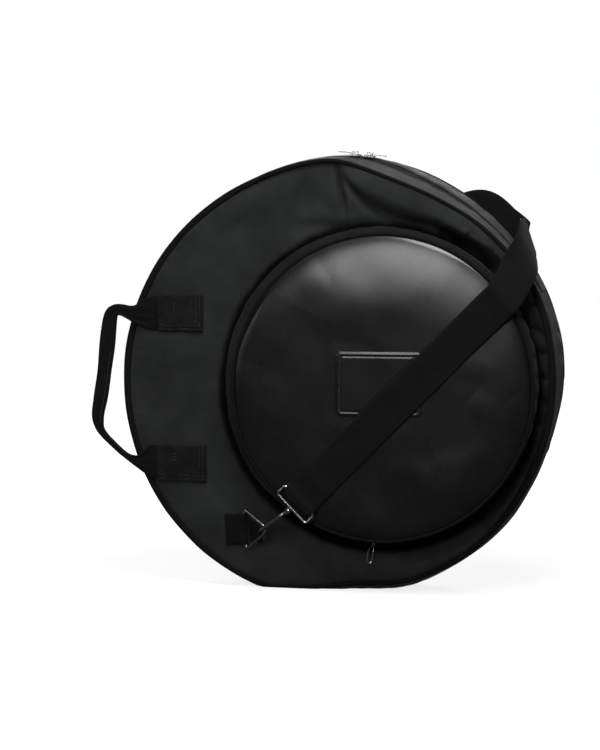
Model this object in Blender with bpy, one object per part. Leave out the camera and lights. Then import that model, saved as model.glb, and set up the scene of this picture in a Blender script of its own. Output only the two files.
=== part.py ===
"""Round padded bag for flat round discs, with a round front pocket, a handle and a hook-on shoulder strap.

Metres, +Z up. The bag stands on its flattened lower edge with its face towards -Y, and the origin is on the
floor below its centre. A place on a panel is given as right and up from the bag's centre, and a depth is
measured from the gusset's middle plane, positive towards the face and negative towards the back.
"""
import math

import bmesh
import bpy
from mathutils import Matrix, Vector

for leftover in list(bpy.data.objects):
    bpy.data.objects.remove(leftover, do_unlink=True)

# Fits
CLEARANCE = 0.0003

# The bag's outline: a circle with many sides, cut flat where it stands
OUTLINE_SIDES = 48
BAG_RADIUS = 0.300
FLOOR_FLAT_DEPTH = 0.011
GUSSET_DEPTH = 0.076
GUSSET_THICKNESS = 0.003
PIPING_RADIUS = 0.003
PIPING_SIDES = 6
SEAM_GAP = 0.0005
HINGE_HALF_SIDES = 3

# Padded panels: outer skin, foam and lining, pinched together at the seam
PANEL_RISE = 0.0085
PANEL_THICKNESS = 0.0095
PANEL_EDGE_THICKNESS = 0.0036
PANEL_SHOULDER = 0.030
SHOULDER_TURN_SHARE = 0.40
SHOULDER_DROP_SHARE = 0.25
SKIN_THICKNESS = 0.0012
LINING_THICKNESS = 0.0008

# Zips
TAPE_THICKNESS = 0.0012
TAPE_TUCK = 0.004
TEETH_WIDTH = 0.0024
TEETH_HEIGHT = 0.0013
TEETH_GAP = 0.0006
MAIN_ZIP_OFFSET = 0.015
MAIN_ZIP_REVEAL = 0.018
MAIN_SLIDERS_MEET_DEG = 84.0
MAIN_SLIDER_SPACING = 0.020

# Sliders and their pulls
SLIDER_LENGTH = 0.014
SLIDER_WIDTH = 0.010
SLIDER_THICKNESS = 0.003
ARCH_LENGTH = 0.008
ARCH_HEIGHT = 0.0042
ARCH_WIDTH = 0.0018
ARCH_BAR = 0.0012
PULL_BAR = 0.0014
PULL_THICKNESS = 0.0014
MAIN_PULL_LENGTH = 0.024
MAIN_PULL_WIDTH = 0.008
POCKET_PULL_LENGTH = 0.033
POCKET_PULL_WIDTH = 0.008
PULL_SIDES = 5

# Round pocket on the front panel
POCKET_RIGHT = 0.073
POCKET_UP = -0.007
POCKET_RADIUS = 0.2045
POCKET_GUSSET_DEPTH = 0.0412
POCKET_RISE = 0.0065
POCKET_COVER_THICKNESS = 0.0066
POCKET_SHOULDER = 0.026
POCKET_ZIP_OFFSET = 0.0112
POCKET_ZIP_REVEAL = 0.012
FOLD_DEG = 45.0
POCKET_ZIP_END_DEG = 270.0
POCKET_SLIDER_DEG = 265.8

# Carrying handle at the left edge
ANCHOR_LENGTH = 0.066
ANCHOR_WIDTH = 0.050
ANCHOR_THICKNESS = 0.004
ANCHOR_INSET = 0.083
UPPER_ANCHOR_UP = 0.084
LOWER_ANCHOR_UP = -0.120
ANCHOR_BEVEL = 0.0008
HANDLE_END_WIDTH = 0.046
HANDLE_END_THICKNESS = 0.0036
GRIP_WIDTH = 0.021
GRIP_THICKNESS = 0.008
GRIP_BEND_RADIUS = 0.016
HANDLE_TAPER = 0.046
UPPER_GRIP_REACH = 0.021
UPPER_GRIP_UP = 0.090
LOWER_GRIP_REACH = 0.040
LOWER_GRIP_UP = -0.078
HANDLE_HINGE_GAP = 0.0008
BEND_STEPS = 5

# Shoulder strap
STRAP_WIDTH = 0.050
STRAP_THICKNESS = 0.002
STRAP_ANGLE_DEG = 45.0
STRAP_OFFSET = 0.034
STRAP_RETURN = 0.035
STRAP_STEP_DOWN = 0.009
WRAP_STEPS = 5
RIM_CROSSING_DEG = 36.5
RIM_STANDOFF = 0.017
RIM_TURN_DEG = 18.0
RIM_SHOULDER = 0.010
RIM_SHOULDER_DEPTH = 0.050
RIM_APPROACH_SHARES = (0.35, 0.7)
BACK_RUN_UP_SHARE = 0.76
BACK_RUN_ENTRY_SHARE = 0.60
BACK_RUN_ROUNDING_SHARE = 0.5
BACK_RUN_TWIST_SHARES = (0.33, 0.67)

# Length adjuster on the strap's hidden run: a plate with two slots and three bars
ADJUSTER_RIGHT = 0.085
ADJUSTER_WIDTH = 0.057
ADJUSTER_LENGTH = 0.028
ADJUSTER_BAR = 0.0024
ADJUSTER_EASE = 0.0008

# Ring tabs and rings
FRONT_RING_LEFT = 0.07895
FRONT_RING_BELOW = 0.03587
RING_TURN_DEG = 4.0
RING_BAR_LENGTH = 0.055
RING_REACH = 0.039
RING_WIRE = 0.0022
RING_APEX_RADIUS = 0.008
RING_CORNER_RADIUS = 0.0026
FRONT_RING_TILT_DEG = 27.0
BACK_RING_LEFT_SHARE = 0.415
BACK_RING_UP_SHARE = 0.7134
BACK_RING_TILT_DEG = 14.0
TAB_WIDTH = 0.042
TAB_THICKNESS = 0.0016
TAB_LENGTH = 0.028

# Snap hooks and their strap loops
LOOP_WIRE = 0.0022
LOOP_LENGTH = 0.016
LOOP_WIDTH = 0.056
LOOP_CORNER_RADIUS = 0.004
HOOK_WIRE = 0.0025
BARREL_RADIUS = 0.0045
BARREL_LENGTH = 0.009
HOOK_HALF_WIDTH = 0.009
HOOK_NECK_LENGTH = 0.012
HOOK_NOSE_LENGTH = 0.009
GATE_WIRE = 0.0018
HOOK_BEND_STEPS = 8

# Finish of each material: colour, roughness, metallic
FINISHES = {
    "nylon": ((0.016, 0.017, 0.017), 0.85, 0.0),
    "foam": ((0.05, 0.05, 0.055), 0.95, 0.0),
    "lining": ((0.012, 0.012, 0.013), 0.9, 0.0),
    "binding": ((0.009, 0.009, 0.011), 0.7, 0.0),
    "vinyl": ((0.014, 0.014, 0.015), 0.4, 0.0),
    "webbing": ((0.010, 0.010, 0.011), 0.8, 0.0),
    "zip": ((0.008, 0.008, 0.009), 0.7, 0.0),
    "dark_metal": ((0.09, 0.09, 0.1), 0.28, 1.0),
    "bright_metal": ((0.62, 0.62, 0.63), 0.25, 1.0),
}
SMOOTH_BELOW_DEG = 40.0
MERGE_DISTANCE = 0.000001

HALF_DEPTH = GUSSET_DEPTH / 2
CENTRE_HEIGHT = BAG_RADIUS - FLOOR_FLAT_DEPTH
FLAT_SHARE = FLOOR_FLAT_DEPTH / BAG_RADIUS
SIDE_DEG = 360 / OUTLINE_SIDES
HINGE_HALF_DEG = HINGE_HALF_SIDES * SIDE_DEG
PANEL_FACE_DEPTH = HALF_DEPTH + PANEL_RISE
PIPING_CENTRE_DEPTH = HALF_DEPTH + CLEARANCE + PIPING_RADIUS
POCKET_REAR_DEPTH = PANEL_FACE_DEPTH + CLEARANCE
POCKET_FRONT_DEPTH = POCKET_REAR_DEPTH + POCKET_GUSSET_DEPTH
POCKET_FACE_DEPTH = POCKET_FRONT_DEPTH + POCKET_RISE
BAG_CENTRE = Vector((0, 0, CENTRE_HEIGHT))
RIGHT = Vector((1, 0, 0))
BEHIND = Vector((0, 1, 0))
UP = Vector((0, 0, 1))


def at(right, up, depth):
    """World place of a point given from the bag's centre."""
    return Vector((right, -depth, CENTRE_HEIGHT + up))


ANCHOR_RIGHT = ANCHOR_INSET - BAG_RADIUS
POCKET_CENTRE = at(POCKET_RIGHT, POCKET_UP, 0)
STRAP_WAY = Vector((math.cos(math.radians(STRAP_ANGLE_DEG)), 0, math.sin(math.radians(STRAP_ANGLE_DEG))))
STRAP_ACROSS = BEHIND.cross(STRAP_WAY)
STRAP_CHORD = math.sqrt(POCKET_RADIUS ** 2 - STRAP_OFFSET ** 2)
STRAP_LOOP_DEPTH = POCKET_FACE_DEPTH + STRAP_THICKNESS + 2 * CLEARANCE + LOOP_WIRE
STRAP_TURN_RADIUS = LOOP_WIRE + CLEARANCE + STRAP_THICKNESS / 2
ADJUSTER_WEAVE = ADJUSTER_BAR / 2 + STRAP_THICKNESS / 2 + ADJUSTER_EASE


def material(name, finish):
    """A new Principled material in one of the finishes."""
    colour, roughness, metallic = FINISHES[finish]
    made = bpy.data.materials.new(name)
    made.use_nodes = True
    shader = made.node_tree.nodes["Principled BSDF"]
    shader.inputs["Base Color"].default_value = (*colour, 1)
    shader.inputs["Roughness"].default_value = roughness
    shader.inputs["Metallic"].default_value = metallic
    made.diffuse_color = (*colour, 1)
    return made


def add_object(name, data, finish, origin):
    """Links a mesh or curve to the scene under its own name, with its own material."""
    piece = bpy.data.objects.new(name, data)
    bpy.context.scene.collection.objects.link(piece)
    piece.location = origin
    if finish:
        data.materials.append(material(name, finish))
    return piece


def add_mesh(name, bm, finish, origin):
    """Turns a finished bmesh into an object whose faces point out."""
    bmesh.ops.remove_doubles(bm, verts=bm.verts, dist=MERGE_DISTANCE)
    loose = [edge for edge in bm.edges if not edge.link_faces]
    bmesh.ops.delete(bm, geom=loose, context="EDGES")
    bmesh.ops.recalc_face_normals(bm, faces=bm.faces)
    mesh = bpy.data.meshes.new(name)
    bm.to_mesh(mesh)
    bm.free()
    mesh.shade_smooth()
    mesh.set_sharp_from_angle(angle=math.radians(SMOOTH_BELOW_DEG))
    return add_object(name, mesh, finish, origin)


def loft(name, sections, finish, origin, closed=False):
    """One skin through matching sections in world places, with flat ends unless it closes on itself."""
    bm = bmesh.new()
    rows = [[bm.verts.new(point - origin) for point in section] for section in sections]
    pairs = list(zip(rows, rows[1:]))
    if closed:
        pairs.append((rows[-1], rows[0]))
    for one, two in pairs:
        for k, corner in enumerate(one):
            after = (k + 1) % len(one)
            bm.faces.new((corner, one[after], two[after], two[k]))
    if not closed:
        bm.faces.new(rows[0])
        bm.faces.new(reversed(rows[-1]))
    return add_mesh(name, bm, finish, origin)


def tube(name, points, radius, finish, origin, closed=False, radii=None):
    """A round wire through world places, thicker or thinner where radii says so."""
    curve = bpy.data.curves.new(name, "CURVE")
    curve.dimensions = "3D"
    curve.bevel_depth = radius
    curve.bevel_resolution = 2
    curve.use_fill_caps = True
    spline = curve.splines.new("POLY")
    spline.points.add(len(points) - 1)
    for k, place in enumerate(points):
        spline.points[k].co = (*(place - origin), 1)
        spline.points[k].radius = radii[k] / radius if radii else 1
    spline.use_cyclic_u = closed
    return add_object(name, curve, finish, origin)


def rounded(corners, radii, steps):
    """The corners of a flat path, each turned into an arc that touches both of its sides."""
    points = []
    for k, (corner, radius) in enumerate(zip(corners, radii)):
        if not radius:
            points.append(corner)
            continue
        into = (corners[k - 1] - corner).normalized()
        onward = (corners[(k + 1) % len(corners)] - corner).normalized()
        half = into.angle(onward) / 2
        centre = corner + (into + onward).normalized() * radius / math.sin(half)
        first = corner + into * radius / math.tan(half) - centre
        last = corner + onward * radius / math.tan(half) - centre
        sweep = first.angle(last)
        for step in range(steps + 1):
            part = step / steps
            arm = first * math.sin((1 - part) * sweep) + last * math.sin(part * sweep)
            points.append(centre + arm / math.sin(sweep))
    return points


def outline(angle_deg, flat_share):
    """A point of the unit outline: a polygon, cut flat at the bottom by a share of its radius."""
    before = math.floor(angle_deg / SIDE_DEG)
    part = angle_deg / SIDE_DEG - before
    places = []
    for corner in (before, before + 1):
        turn = math.radians(corner * SIDE_DEG)
        places.append(Vector((math.cos(turn), 0, max(math.sin(turn), flat_share - 1))))
    return places[0].lerp(places[1], part)


def ring(name, profile, finish, centre, span=None, flat_share=0):
    """Sweeps a profile of (radius, depth) points round a centre, all the way or over a span in degrees."""
    if span:
        first, last = span
        inner = range(math.floor(first / SIDE_DEG) + 1, math.ceil(last / SIDE_DEG))
        angles = [first, *(side * SIDE_DEG for side in inner), last]
    else:
        angles = [side * SIDE_DEG for side in range(OUTLINE_SIDES)]
    sections = []
    for angle in angles:
        reach = outline(angle, flat_share)
        sections.append([centre + reach * radius - BEHIND * depth for radius, depth in profile])
    return loft(name, sections, finish, centre, closed=not span)


def shortened(first, last, radius):
    """A span in degrees that keeps half the clearance at each end, at this radius."""
    gap = math.degrees(CLEARANCE / 2 / radius)
    return first + gap, last - gap


def band(outer, thickness, near, far):
    """Profile of a flat strip that lies round a circle, between two depths."""
    inner = outer - thickness
    return [(outer, near), (outer, far), (inner, far), (inner, near)]


def cord_profile(radius, depth, cord):
    """Profile of a round cord in a piping."""
    points = []
    for side in range(PIPING_SIDES):
        turn = 2 * math.pi * side / PIPING_SIDES
        points.append((radius + cord * math.cos(turn), depth + cord * math.sin(turn)))
    return points


def tape_profile(outer, teeth_depth, tucked_depth):
    """Profile of one half of a zip: a thin tape with its teeth standing up along one edge."""
    way = 1 if tucked_depth > teeth_depth else -1
    edge = teeth_depth + way * TEETH_GAP / 2
    inner = outer - TAPE_THICKNESS
    crown = outer + TEETH_HEIGHT
    back = edge + way * TEETH_WIDTH
    teeth = [(inner, edge), (crown, edge), (crown, back), (outer, back)]
    return [(inner, tucked_depth), *teeth, (outer, tucked_depth)]


class Cover:
    """Depths of a padded sandwich from its middle to its seam. Side is 1 for the face, -1 for the back."""

    def __init__(self, edge_radius, seam_depth, rise, thickness, shoulder, side):
        face = seam_depth + rise
        back = face - thickness
        edge_inner = seam_depth + CLEARANCE
        edge_outer = edge_inner + PANEL_EDGE_THICKNESS
        turn = edge_radius - shoulder * SHOULDER_TURN_SHARE
        self.radii = [0, edge_radius - shoulder, turn, edge_radius]
        self.outer = [face, face, face - (face - edge_outer) * SHOULDER_DROP_SHARE, edge_outer]
        self.inner = [back, back, back + (edge_inner - back) * SHOULDER_DROP_SHARE, edge_inner]
        self.side = side

    def profile(self, outer, inner):
        """Closed profile between two lists of depths."""
        going = [(radius, self.side * depth) for radius, depth in zip(self.radii, outer)]
        coming = [(radius, self.side * depth) for radius, depth in zip(self.radii, inner)]
        return going + coming[::-1]

    def layers(self):
        """Profiles of the skin, the foam and the lining."""
        skin = [depth - SKIN_THICKNESS for depth in self.outer]
        lining = [depth + LINING_THICKNESS for depth in self.inner]
        foam_front = [depth - CLEARANCE for depth in skin]
        foam_back = [depth + CLEARANCE for depth in lining]
        return {
            "skin": self.profile(self.outer, skin),
            "foam": self.profile(foam_front, foam_back),
            "lining": self.profile(lining, self.inner),
        }


def axis_empty(name, place):
    """An empty on a joint's axis, which carries what that joint moves."""
    holder = bpy.data.objects.new(name, None)
    bpy.context.scene.collection.objects.link(holder)
    holder.location = place
    return holder


def carry(holder, pieces):
    """Parents pieces to a holder and leaves them where they are."""
    for piece in pieces:
        piece.parent = holder
        piece.matrix_parent_inverse = Matrix.Translation(holder.location).inverted()


def make_panels():
    """Front and back panels, each a skin, a foam pad and a lining, and the piping round each."""
    edge_radius = BAG_RADIUS - 2 * PIPING_RADIUS - SEAM_GAP
    made = {}
    for word, side in (("front", 1), ("back", -1)):
        cover = Cover(edge_radius, HALF_DEPTH, PANEL_RISE, PANEL_THICKNESS, PANEL_SHOULDER, side)
        finishes = {"skin": "nylon", "foam": "foam", "lining": "lining"}
        made[word] = [
            ring(f"{word}_panel_{layer}", profile, finishes[layer], BAG_CENTRE, flat_share=FLAT_SHARE)
            for layer, profile in cover.layers().items()
        ]
        cord = cord_profile(BAG_RADIUS - PIPING_RADIUS, side * PIPING_CENTRE_DEPTH, PIPING_RADIUS)
        made[word].append(ring(f"{word}_piping", cord, "binding", BAG_CENTRE, flat_share=FLAT_SHARE))
    return made


def make_gusset():
    """The strips on both sides of the zip, the plain gusset at the hinge and the two halves of the zip."""
    zip_front = MAIN_ZIP_OFFSET + MAIN_ZIP_REVEAL / 2
    zip_rear = MAIN_ZIP_OFFSET - MAIN_ZIP_REVEAL / 2
    around = shortened(HINGE_HALF_DEG, 360 - HINGE_HALF_DEG, BAG_RADIUS)
    hinge = shortened(-HINGE_HALF_DEG, HINGE_HALF_DEG, BAG_RADIUS)
    tape_outer = BAG_RADIUS - GUSSET_THICKNESS - CLEARANCE
    bands = {
        "front_gusset_strip": (band(BAG_RADIUS, GUSSET_THICKNESS, HALF_DEPTH, zip_front), "nylon", around),
        "rear_gusset_strip": (band(BAG_RADIUS, GUSSET_THICKNESS, zip_rear, -HALF_DEPTH), "nylon", around),
        "hinge_gusset": (band(BAG_RADIUS, GUSSET_THICKNESS, HALF_DEPTH, -HALF_DEPTH), "nylon", hinge),
        "front_zip_tape": (tape_profile(tape_outer, MAIN_ZIP_OFFSET, zip_front + TAPE_TUCK), "zip", around),
        "rear_zip_tape": (tape_profile(tape_outer, MAIN_ZIP_OFFSET, zip_rear - TAPE_TUCK), "zip", around),
    }
    made = {}
    for name, (profile, finish, span) in bands.items():
        made[name] = ring(name, profile, finish, BAG_CENTRE, span, FLAT_SHARE)
    return made, tape_outer + TEETH_HEIGHT


def slab(name, centre, axes, size, finish, origin):
    """A box given by its middle, its three directions and its sizes along them."""
    bm = bmesh.new()
    bmesh.ops.create_cube(bm, size=1)
    for vert in bm.verts:
        steps = (direction * (side * part) for direction, side, part in zip(axes, size, vert.co))
        vert.co = sum(steps, centre - origin)
    return add_mesh(name, bm, finish, origin)


def make_slider(name, centre, teeth_crown, angle_deg, depth):
    """A slider that rides over the teeth of a round zip, with an arch for its pull."""
    turn = math.radians(angle_deg)
    outward = Vector((math.cos(turn), 0, math.sin(turn)))
    along = Vector((-math.sin(turn), 0, math.cos(turn)))
    origin = centre - BEHIND * depth
    foot = origin + outward * (teeth_crown + CLEARANCE)
    roof = foot + outward * SLIDER_THICKNESS
    axes = (along, BEHIND, outward)
    size = (SLIDER_LENGTH, SLIDER_WIDTH, SLIDER_THICKNESS)
    body = slab(name, foot + outward * SLIDER_THICKNESS / 2, axes, size, "dark_metal", origin)
    outer, inner = ARCH_LENGTH / 2, ARCH_LENGTH / 2 - ARCH_BAR
    top = ARCH_HEIGHT - ARCH_BAR
    shape = [(-outer, -ARCH_BAR), (-outer, ARCH_HEIGHT), (outer, ARCH_HEIGHT), (outer, -ARCH_BAR)]
    shape += [(inner, -ARCH_BAR), (inner, top), (-inner, top), (-inner, -ARCH_BAR)]
    sections = []
    for edge in (-ARCH_WIDTH / 2, ARCH_WIDTH / 2):
        sections.append([roof + along * one + outward * two + BEHIND * edge for one, two in shape])
    arch = loft(name + "_arch", sections, None, origin)
    arch.hide_render = True
    arch.display_type = "WIRE"
    join = body.modifiers.new("arch", "BOOLEAN")
    join.operation = "UNION"
    join.object = arch
    pivot = roof + outward * top / 2
    return body, pivot, outward, along


def make_pull(name, pivot, away, length, width):
    """A long oval pull whose end bar lies under its slider's arch. It swings about the pivot."""
    across = BEHIND
    flat = away.cross(across)
    end_radius = width / 2
    middles = (end_radius - PULL_BAR / 2, length - PULL_BAR / 2 - end_radius)
    sections = []
    for middle, side in zip(middles, (-1, 1)):
        for step in range(PULL_SIDES + 1):
            turn = math.pi * step / PULL_SIDES
            arm = away * (side * math.sin(turn)) - across * (side * math.cos(turn))
            section = []
            for reach, lift in ((1, 1), (1, -1), (0, -1), (0, 1)):
                radius = end_radius - PULL_BAR * (1 - reach)
                section.append(pivot + away * middle + arm * radius + flat * (lift * PULL_THICKNESS / 2))
            sections.append(section)
    return loft(name, sections, "bright_metal", pivot, closed=True)


def make_main_sliders(teeth_crown):
    """The two sliders that meet at the top of the bag, and their pulls, which lie along the zip."""
    half = math.degrees(MAIN_SLIDER_SPACING / 2 / BAG_RADIUS)
    for word, side in (("left", 1), ("right", -1)):
        angle = MAIN_SLIDERS_MEET_DEG + side * half
        name = f"main_slider_{word}"
        body, pivot, outward, along = make_slider(name, BAG_CENTRE, teeth_crown, angle, MAIN_ZIP_OFFSET)
        pull = make_pull(f"main_pull_{word}", pivot, along * side, MAIN_PULL_LENGTH, MAIN_PULL_WIDTH)
        carry(body, [pull])


def make_pocket():
    """The pocket's gusset and zip, and its cover in two parts that meet along the fold."""
    rear, front = POCKET_REAR_DEPTH, POCKET_FRONT_DEPTH
    teeth = rear + POCKET_ZIP_OFFSET
    reveal_rear = teeth - POCKET_ZIP_REVEAL / 2
    reveal_front = teeth + POCKET_ZIP_REVEAL / 2
    tape_outer = POCKET_RADIUS - GUSSET_THICKNESS - CLEARANCE
    flap_span = (FOLD_DEG, FOLD_DEG + 180)
    base_span = (FOLD_DEG + 180, FOLD_DEG + 360)
    zip_span = shortened(FOLD_DEG, POCKET_ZIP_END_DEG, POCKET_RADIUS)
    closed_span = shortened(POCKET_ZIP_END_DEG, FOLD_DEG + 360, POCKET_RADIUS)
    short_span = (FOLD_DEG + 180, shortened(POCKET_ZIP_END_DEG, POCKET_ZIP_END_DEG, POCKET_RADIUS)[1])
    rear_strip = band(POCKET_RADIUS, GUSSET_THICKNESS, reveal_rear, rear)
    front_strip = band(POCKET_RADIUS, GUSSET_THICKNESS, front, reveal_front)
    closing = band(POCKET_RADIUS, GUSSET_THICKNESS, reveal_front - CLEARANCE, reveal_rear + CLEARANCE)
    rear_tape = tape_profile(tape_outer, teeth, reveal_rear - TAPE_TUCK)
    front_tape = tape_profile(tape_outer, teeth, reveal_front + TAPE_TUCK)
    fixed = [
        ring("pocket_rear_strip", rear_strip, "nylon", POCKET_CENTRE),
        ring("pocket_closing_strip", closing, "nylon", POCKET_CENTRE, closed_span),
        ring("pocket_rear_zip_tape", rear_tape, "zip", POCKET_CENTRE, zip_span),
    ]
    moving = []
    edge_radius = POCKET_RADIUS - 2 * PIPING_RADIUS - SEAM_GAP
    cover = Cover(edge_radius, front, POCKET_RISE, POCKET_COVER_THICKNESS, POCKET_SHOULDER, 1)
    cord_depth = front + CLEARANCE + PIPING_RADIUS
    cord = cord_profile(POCKET_RADIUS - PIPING_RADIUS, cord_depth, PIPING_RADIUS)
    fold = math.radians(FOLD_DEG + 90)
    away = Vector((math.cos(fold), 0, math.sin(fold))) * CLEARANCE / 2
    finishes = {"skin": "vinyl", "foam": "foam", "lining": "lining"}
    parts = (("flap", flap_span, flap_span, away, moving), ("base", base_span, short_span, -away, fixed))
    for word, span, tape_span, shift, group in parts:
        centre = POCKET_CENTRE + shift
        group.append(ring(f"pocket_front_strip_{word}", front_strip, "nylon", centre, span))
        group.append(ring(f"pocket_front_zip_tape_{word}", front_tape, "zip", centre, tape_span))
        group.append(ring(f"pocket_piping_{word}", cord, "binding", centre, span))
        for layer, profile in cover.layers().items():
            group.append(ring(f"pocket_{layer}_{word}", profile, finishes[layer], centre, span))
    return fixed, moving, tape_outer + TEETH_HEIGHT, teeth


def make_handle():
    """Two sewn ends on the front panel, and the loop between them, whose webbing is folded into a grip."""
    anchor_depth = PANEL_FACE_DEPTH + CLEARANCE + ANCHOR_THICKNESS / 2
    anchors = []
    for word, up in (("upper", UPPER_ANCHOR_UP), ("lower", LOWER_ANCHOR_UP)):
        centre = at(ANCHOR_RIGHT, up, anchor_depth)
        size = (ANCHOR_LENGTH, ANCHOR_THICKNESS, ANCHOR_WIDTH)
        anchor = slab(f"handle_anchor_{word}", centre, (RIGHT, BEHIND, UP), size, "webbing", centre)
        edges = anchor.modifiers.new("edges", "BEVEL")
        edges.width = ANCHOR_BEVEL
        edges.segments = 1
        anchors.append(anchor)
    hinge_right = ANCHOR_RIGHT - ANCHOR_LENGTH / 2 - HANDLE_HINGE_GAP / 2
    loop_depth = PANEL_FACE_DEPTH + CLEARANCE + HANDLE_END_THICKNESS / 2 + CLEARANCE
    end_right = hinge_right - HANDLE_HINGE_GAP / 2
    corners = [
        at(end_right, UPPER_ANCHOR_UP, loop_depth),
        at(end_right - HANDLE_TAPER, UPPER_ANCHOR_UP, loop_depth),
        at(-BAG_RADIUS - UPPER_GRIP_REACH, UPPER_GRIP_UP, loop_depth),
        at(-BAG_RADIUS - LOWER_GRIP_REACH, LOWER_GRIP_UP, loop_depth),
        at(end_right - HANDLE_TAPER, LOWER_ANCHOR_UP, loop_depth),
        at(end_right, LOWER_ANCHOR_UP, loop_depth),
    ]
    bends = [0, GRIP_BEND_RADIUS, GRIP_BEND_RADIUS, GRIP_BEND_RADIUS, GRIP_BEND_RADIUS, 0]
    route = rounded(corners, bends, BEND_STEPS)
    sections = []
    for k, place in enumerate(route):
        before, after = route[max(k - 1, 0)], route[min(k + 1, len(route) - 1)]
        heading = (after - before).normalized()
        if k in (0, len(route) - 1):
            heading = -RIGHT if k == 0 else RIGHT
        across = heading.cross(BEHIND)
        taper = min((end_right - place.x) / HANDLE_TAPER, 1)
        width = HANDLE_END_WIDTH + (GRIP_WIDTH - HANDLE_END_WIDTH) * taper
        thickness = HANDLE_END_THICKNESS + (GRIP_THICKNESS - HANDLE_END_THICKNESS) * taper
        side, lift = across * width / 2, -BEHIND * thickness
        base = place + BEHIND * HANDLE_END_THICKNESS / 2
        sections.append([base + side, base + side + lift, base - side + lift, base - side])
    front_depth = loop_depth + HANDLE_END_THICKNESS / 2
    pivot = at(hinge_right, (UPPER_ANCHOR_UP + LOWER_ANCHOR_UP) / 2, front_depth)
    loop = loft("handle_loop", sections, "webbing", pivot)
    return anchors, loop


def ribbon(name, stations, width, thickness, finish, origin):
    """A flat strap through stations, each a place and the direction of the strap's width there."""
    sections = []
    for k, (place, across) in enumerate(stations):
        before = stations[max(k - 1, 0)][0]
        after = stations[min(k + 1, len(stations) - 1)][0]
        across = across.normalized()
        lift = (after - before).cross(across).normalized() * thickness / 2
        side = across * width / 2
        sections.append([place + side + lift, place - side + lift, place - side - lift, place + side - lift])
    return loft(name, sections, finish, origin)


def wrap(centre, towards, lift, radius, across):
    """Stations half way round a bar, from below it to above it, on the side that towards points to."""
    stations = []
    for step in range(WRAP_STEPS + 1):
        turn = math.pi * step / WRAP_STEPS
        place = centre + towards * (radius * math.sin(turn)) - lift * (radius * math.cos(turn))
        stations.append((place, across))
    return stations


class Ring:
    """A triangular ring on a webbing tab, given by its bar's place on the panel, its turn and its tilt."""

    def __init__(self, word, place, turn_deg, tilt_deg, outward):
        self.word = word
        self.outward = outward
        turn = math.radians(turn_deg)
        flat = Vector((math.cos(turn), 0, math.sin(turn)))
        self.bar = Vector((-math.sin(turn), 0, math.cos(turn)))
        tilt = math.radians(tilt_deg)
        self.reach = flat * math.cos(tilt) + outward * math.sin(tilt)
        self.flat = flat
        height = PANEL_FACE_DEPTH + 2 * CLEARANCE + TAB_THICKNESS + RING_WIRE
        self.centre = Vector((place.x, 0, place.z)) + outward * height
        self.crook = self.centre + self.reach * (RING_REACH - RING_APEX_RADIUS)

    def make(self):
        """The wire ring and the tab that holds its bar to the panel."""
        half = self.bar * RING_BAR_LENGTH / 2
        slope = math.atan2(RING_BAR_LENGTH / 2, RING_REACH)
        overshoot = RING_APEX_RADIUS / math.sin(slope) - RING_APEX_RADIUS
        tip = self.centre + self.reach * (RING_REACH + overshoot)
        corners = [self.centre + half, self.centre - half, tip]
        radii = [RING_CORNER_RADIUS, RING_CORNER_RADIUS, RING_APEX_RADIUS]
        wire = rounded(corners, radii, BEND_STEPS)
        loop = tube(f"{self.word}_ring", wire, RING_WIRE, "dark_metal", self.centre, closed=True)
        radius = RING_WIRE + CLEARANCE + TAB_THICKNESS / 2
        bend = wrap(self.centre, self.flat, self.outward, radius, self.bar)
        back = -self.flat * TAB_LENGTH
        low = self.centre - self.outward * radius
        high = low + self.outward * (TAB_THICKNESS + CLEARANCE)
        near = back / 2
        start = [(low + back, self.bar), (low + near, self.bar)]
        end = [(high + near, self.bar), (high + back, self.bar)]
        route = start + bend + end
        tab = ribbon(f"{self.word}_ring_tab", route, TAB_WIDTH, TAB_THICKNESS, "webbing", self.centre)
        return loop, tab


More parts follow.
